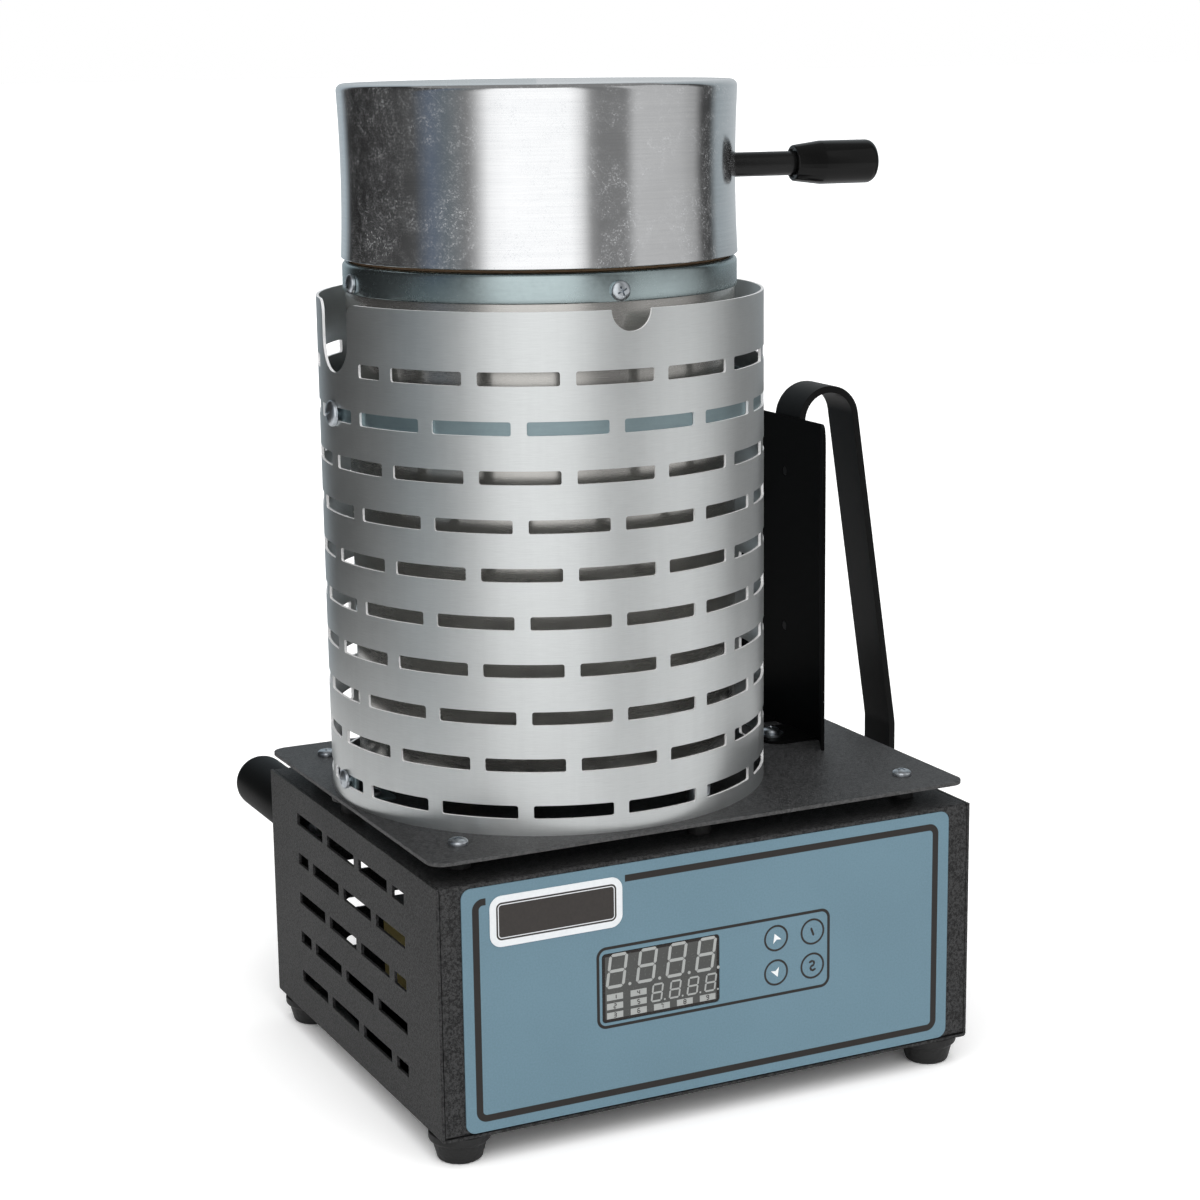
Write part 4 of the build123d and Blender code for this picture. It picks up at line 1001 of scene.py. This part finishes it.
def screws(name, node, *sets, first=25.0, step=37.0):
    """Screws for a CAD node: each set is a shape and its places, each screw turned by its own angle."""
    parts = [
        copies(shape, [spun(place, first + step * k) for k, place in enumerate(places)])
        for shape, places in sets
    ]
    mesh = new_mesh(name, *merged(parts), outward=False)
    piece(name, mesh, screw_zinc, "furnace", [node])


def all_around(radius, angles, level):
    """Places on the furnace's side, facing out."""
    return [radial(radius, angle, level) for angle in angles]


def upward(places, way=UP):
    return [basis(place, way) for place in places]


upper_level = shield_top - slot_first_drop - slot_row_pitch
lower_level = shield_top - slot_first_drop - (slot_rows - 1) * slot_row_pitch
ring_level = ring_top - ring_screw_drop
screws(
    "ring_screw_heads", "ring_screws",
    (cross_screw(4.0, 2.6, 2.0, 4.0), all_around(ring_radius, ring_screw_angles, ring_level)),
)
screws(
    "shield_screw_heads", "shield_screws",
    (cross_screw(5.2, 2.8, 2.0, 5.0), all_around(shield_radius, bracket_angles, upper_level)),
    (cross_screw(3.9, 2.4, 2.0, 6.0), all_around(shield_radius, bracket_angles, lower_level)),
    first=20.0, step=0.0,
)
screws(
    "deck_screw_heads", "deck_screws",
    (cross_screw(4.0, 2.6, 2.0, 12.0), upward(at_corners(deck_reach, deck_top, deck_shift))),
)
washer_top = box("guard_washers")[1][2]
strap_face = tray_high[0] + strap_stand_off
strap_middle = middle("strap_handle")[1]
bracket_foot = deck_top + bracket_sheet
base_top = box("furnace_base")[1][2]
strap_places = [(strap_face, strap_middle, case_floor + level) for level in strap_screw_levels]
standing = [(case[0] + guard_bolt, case[1] + y, washer_top) for y in guard_tabs]
standing += [around(bracket_bolt_radius, angle, bracket_foot) for angle in bracket_angles]
standing += [around(pillar_radius, angle, base_top) for angle in pillar_angles]
m4_places = upward(at_corners(foot_reach, foot_well), -UP)
m4_places += upward(strap_places, (1, 0, 0)) + upward(standing)
screws("m4_screw_heads", "m4_screws", (cross_screw(4.0, 2.6, 2.0, 10.0), m4_places))


# ---------------------------------------------------------------- display, keys and marks
def marks(name, outlines, depth, material, body="furnace"):
    """Thin plates on the panel: each (x, z) outline runs from its face forwards by a depth in mm."""
    parts = []
    for outline in outlines:
        points, faces = prism_points(np.asarray(outline), 0.0, depth * mm)
        across, level, out = points.T
        parts.append((np.stack([across, overlay_front - out, level], axis=1), faces))
    piece(name, new_mesh(name, *merged(parts)), material, body)


def bar(start, stop, thick):
    """A six-sided bar with pointed ends between two points."""
    start, stop = np.array(start), np.array(stop)
    along = (stop - start) / np.linalg.norm(stop - start)
    side = np.array((-along[1], along[0])) * thick / 2
    nib = along * thick / 2
    return np.array([
        start, start + nib - side, stop - nib - side, stop, stop - nib + side, start + nib + side,
    ])


# The seven segments by their usual letters, clockwise from the top with g in the middle, and a stem, i.
# A number's segments stand at its own place in number_segments, from 1 to 9.
segment_ends = {
    "a": ((0, 2), (1, 2)), "b": ((1, 2), (1, 1)), "c": ((1, 1), (1, 0)), "d": ((0, 0), (1, 0)),
    "e": ((0, 0), (0, 1)), "f": ((0, 1), (0, 2)), "g": ((0, 1), (1, 1)), "i": ((1, 0), (1, 2)),
}
number_segments = ("", "i", "abged", "abgcd", "fbgc", "afgcd", "afgecd", "abc", "abcdefg", "afbgcd")


def number(value, x, z, sizes, slant=0.0):
    """The bars of a plain segment number centred on (x, z), leaning by a slant in degrees: its width,
    its height, its bars' thickness and the gap at their ends are in mm."""
    wide, tall, thick, gap = np.array(sizes) * mm
    reach = np.array((wide - thick, (tall - thick) / 2))
    made = []
    for name in number_segments[value]:
        ends = (np.array(segment_ends[name]) - (0.5, 1.0)) * reach
        along = (ends[1] - ends[0]) / np.linalg.norm(ends[1] - ends[0])
        outline = bar(ends[0] + along * gap, ends[1] - along * gap, thick)
        outline[:, 0] += outline[:, 1] * tan(radians(slant))
        made.append(outline + (x, z))
    return made


def dot(x, z, radius):
    return arc((x, z), radius, 0, 324, 9)


def panel_point(x, z):
    """A place on the panel, from millimetres across from the case's middle and up from its floor."""
    return case[0] + x * mm, case_floor + z * mm


segments = []
for left, pitch, up, sizes, point in (
    (-44.6, 13.2, 57.9, (8.3, 14.2, 1.25, 0.18), (5.6, -6.4, 0.68)),
    (-26.9, 8.0, 45.7, (5.0, 7.6, 0.72, 0.1), (3.3, -3.4, 0.42)),
):
    for k in range(4):
        x, z = panel_point(left + pitch * k, up)
        segments += number(8, x, z, sizes, digit_slant)
        segments.append(dot(x + point[0] * mm, z + point[1] * mm, point[2] * mm))
marks("display_segments", segments, 0.05, segment_grey)

tile_places = [(x, z) for x in (-45.6, -35.2) for z in (47.2, 43.4, 39.6)]
tile_places += [(x, 39.6) for x in (-24.9, -14.6, -4.3)]
tile = np.array([(-3.55, -1.3), (3.55, -1.3), (3.55, 1.3), (-3.55, 1.3)]) * mm
tiles, tile_numbers = [], []
for count, place in enumerate(tile_places, 1):
    x, z = panel_point(*place)
    tiles.append(tile + (x, z))
    tile_numbers += number(count, x, z, (1.4, 2.15, 0.4, 0.0))
marks("display_tiles", tiles, 0.03, segment_grey)
marks("display_tile_numbers", tile_numbers, 0.045, symbol_dark)


def leaning(outline):
    """An outline turned about the origin, against the clock, by the keys' slant."""
    lean = radians(20)
    return outline @ np.array([(cos(lean), sin(lean)), (-sin(lean), cos(lean))])


def arrowhead(x, z, way):
    """A notched arrowhead that points up or down."""
    shape = np.array([(0.0, 2.1), (-2.0, -1.6), (0.0, -0.7), (2.0, -1.6)]) * mm
    return leaning(shape * way) + (x, z)


def flat_ring(node, kind, outer, inner, deep, material, body, slot):
    """A thin plate between two circles about a key, from the panel's face forwards, or back by a
    negative depth. All three sizes are in mm."""
    low, high = min(deep, 0.0) * mm, max(deep, 0.0) * mm
    section = plain_outline(outer * mm, inner * mm, low, high, 0.004 * mm)
    x, _, z = middle(node)
    mesh = turned(node + kind, section, basis((x, overlay_front, z), (0, -1, 0)), small_steps)
    piece(node + kind, mesh, material, body)


for node, way in (("key_up", 1), ("key_down", -1)):
    x, _, z = middle(node)
    marks(node + "_arrow", [arrowhead(x, z, way)], 0.03, symbol_white, node)
for node, value, aside in (("key_function", 1, -1.2 * mm), ("key_set", 2, 0.0)):
    x, _, z = middle(node)
    shape = [leaning(outline) + (x, z) for outline in number(value, aside, 0.0, (3.2, 4.9, 0.95, 0.0))]
    marks(node + "_number", shape, 0.03, symbol_dark, node)
for node in ("key_up", "key_down", "key_function", "key_set"):
    refined(node, key_skin, 0.0, node)
    flat_ring(node, "_ring", *key_ring_radii, 0.03, symbol_dark, node, "key_film")
    flat_ring(node, "_film", *key_gap_radii, -0.06, key_skin, "furnace", "overlay_film")


# ---------------------------------------------------------------- other nodes keep their CAD shape
cad_finishes = [
    (fibre, ["insulation_base", "insulation_sleeve", "mouth_plate", "lid_insulation"]),
    (refractory, ["muffle_tube", "crucible_plinth", "lead_bushes"]),
    (graphite, ["crucible"]),
    (resistance_wire, ["heating_element"]),
    (screw_zinc, ["m4_nuts", "board_pillars", "lid_retainer", "lid_rod_nut", "rear_grip_bolt",
                  "inlet_screws", "thermocouple"]),
    (bare_aluminium, ["relay_heatsink"]),
    (tape_and_core, ["control_transformer"]),
    (board_green, ["controller_board"]),
    (black_plastic, ["display_module", "tactile_switches"]),
    (wire_red, ["internal_wiring"]),
]
for material, nodes in cad_finishes:
    for node in nodes:
        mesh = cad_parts[node].data
        mesh.materials.clear()
        mesh.materials.append(material)

# ---------------------------------------------------------------- camera, floor, screen and lights
camera_place = Vector((-485.51, -1000.88, 425.99)) * mm
camera_yaw, camera_pitch, camera_roll = 0.4523957, 0.2121262, -0.0128789
view_length = 77.958
screen_join = (0.26, 0.33)

forward = Vector((
    sin(camera_yaw) * cos(camera_pitch), cos(camera_yaw) * cos(camera_pitch), -sin(camera_pitch),
))
level_right = Vector((cos(camera_yaw), -sin(camera_yaw), 0))
level_up = level_right.cross(forward)
right = level_right * cos(camera_roll) + level_up * sin(camera_roll)
top = level_up * cos(camera_roll) - level_right * sin(camera_roll)
camera = linked("camera", bpy.data.cameras.new("camera"))
camera.data.lens = view_length
camera.data.sensor_width = 36.0
camera.data.clip_start = 0.02
camera.data.clip_end = 60.0
turn = Matrix((right, top, -forward)).transposed().to_4x4()
camera.matrix_world = Matrix.Translation(camera_place) @ turn
scene.camera = camera


def by_ray(nodes, lit, mirrored, seen):
    """A grey for the light sent on, another for what shows in gloss and another for the camera."""
    path = nodes.node("ShaderNodeLightPath").outputs
    first = nodes.mix(path["Is Glossy Ray"], grey(lit), grey(mirrored))
    return nodes.mix(path["Is Camera Ray"], first, grey(seen))


def set_world(lit, mirrored):
    """White behind the furnace, with its own levels where it lights and where it shows in gloss."""
    world = bpy.data.worlds.new("studio")
    scene.world = world
    world.use_nodes = True
    nodes = Nodes(world.node_tree)
    nodes.feed(nodes.tree.nodes["Background"].inputs["Color"], by_ray(nodes, lit, mirrored, 1.0))


def set_floor(lit, mirrored, seen):
    """A pale floor that keeps the furnace's shadow."""
    half = 30.0
    corners = np.array([(-half, -half, 0), (half, -half, 0), (half, half, 0), (-half, half, 0)])
    floor = linked("floor", new_mesh("floor", corners, [(0, 1, 2, 3)], outward=False))
    paper = new_material("paper")
    nodes = Nodes(paper.node_tree)
    matte = nodes.node("ShaderNodeBsdfDiffuse", {}, by_ray(nodes, lit, mirrored, seen))
    nodes.node("ShaderNodeOutputMaterial", {}, matte.outputs[0])
    floor.data.materials.append(paper)


def ramp(nodes, share, lights):
    """A colour by the share of a turn, from a list of (angle, light) in degrees, -180 to 180."""
    made = nodes.node("ShaderNodeValToRGB", {}, share)
    stops = made.color_ramp.elements
    for angle, _ in lights[1:-1]:
        stops.new(0.5 + angle / 360)
    for stop, (angle, light) in zip(stops, lights):
        stop.position = 0.5 + angle / 360
        stop.color = (*(light if isinstance(light, tuple) else grey(light)), 1)
    return made.outputs[0]


def surround(upper, lower, radius=0.7, low=0.002, high=1.25):
    """A round screen about the furnace, seen only in gloss: strip lights, flags and a pale back. Each
    list gives (angle, light) in degrees to the right of the camera; the first is for the lid's height.
    A light is a colour, or a number for a grey."""
    a = np.linspace(0, 2 * np.pi, 120, endpoint=False)[:, None]
    z = np.linspace(low, high, 2)[None]
    points = np.stack([radius * np.cos(a) + 0 * z, radius * np.sin(a) + 0 * z, z + 0 * a], axis=-1)
    mesh = new_mesh("surround", points.reshape(-1, 3), grid_faces(120, 2, close_rows=True), outward=False)
    made = linked("surround", mesh)
    toward_camera = np.arctan2(camera_place.y - axis[1], camera_place.x - axis[0])
    made.location = (axis[0], axis[1], 0)
    made.rotation_euler = (0, 0, toward_camera)
    paint = new_material("surround")
    nodes = Nodes(paint.node_tree)
    where = nodes.node("ShaderNodeTexCoord").outputs["Object"]
    x, y, z = nodes.node("ShaderNodeSeparateXYZ", {}, where).outputs
    angle = nodes.node("ShaderNodeMath", {"operation": "ARCTAN2"}, y, x).outputs[0]
    share = nodes.node("ShaderNodeMapRange", {}, angle, -np.pi, np.pi).outputs[0]
    height = Signal(nodes, z).between(*screen_join)
    light = nodes.mix(height, ramp(nodes, share, lower), ramp(nodes, share, upper))
    glow = nodes.node("ShaderNodeEmission", {}, light)
    nodes.node("ShaderNodeOutputMaterial", {}, glow.outputs[0])
    mesh.materials.append(paint)
    for ray in ("camera", "diffuse", "shadow", "transmission"):
        setattr(made, "visible_" + ray, False)


def sun(name, strength, width, direction):
    """A soft lamp from far away, shining along a direction, kept out of reflections."""
    lamp = bpy.data.lights.new(name, "SUN")
    lamp.energy = strength
    lamp.angle = radians(width)
    made = linked(name, lamp)
    made.rotation_euler = Vector(direction).to_track_quat("-Z", "Y").to_euler()
    made.visible_glossy = False


set_world(0.5, 0.22)
set_floor(0.8, 0.68, 1.22)
pale_back = (0.40, 0.46, 0.50)
surround(
    upper=[
        (-180, (0.52, 0.56, 0.58)), (-145, pale_back), (-134, 0.04), (-122, 0.02),
        (-84, 0.05), (-71, 0.07), (-60, (0.108, 0.132, 0.173)), (-50, (0.125, 0.145, 0.16)),
        (-38, 0.185), (-34, 0.36), (-26, 1.0), (-16, 1.12), (17, 1.1), (23, 0.8),
        (28, 0.27), (33, 0.18), (48, 0.19), (54, 0.5), (84, 0.46),
        (96, 0.34), (103, 0.055), (111, 0.045), (119, (0.30, 0.34, 0.36)),
        (180, (0.62, 0.65, 0.67)),
    ],
    lower=[
        (-180, pale_back), (-150, pale_back), (-134, 0.03), (-104, 0.04), (-84, 0.1),
        (-65, (0.18, 0.21, 0.225)), (-48, (0.27, 0.29, 0.30)), (-36, 0.43), (-22, 0.98),
        (-12, 1.1), (16, 1.08), (26, 0.66), (34, 0.46), (46, 0.48),
        (56, 0.8), (76, 0.82), (96, 0.5), (110, 0.16), (130, 0.2),
        (180, pale_back),
    ],
)
sun("overhead", 1.3, 70, (0.1, 0.25, -1.0))
sun("front", 1.1, 60, (0.1, 1.0, -0.55))
sun("left", 0.45, 60, (1.0, 0.25, -0.4))
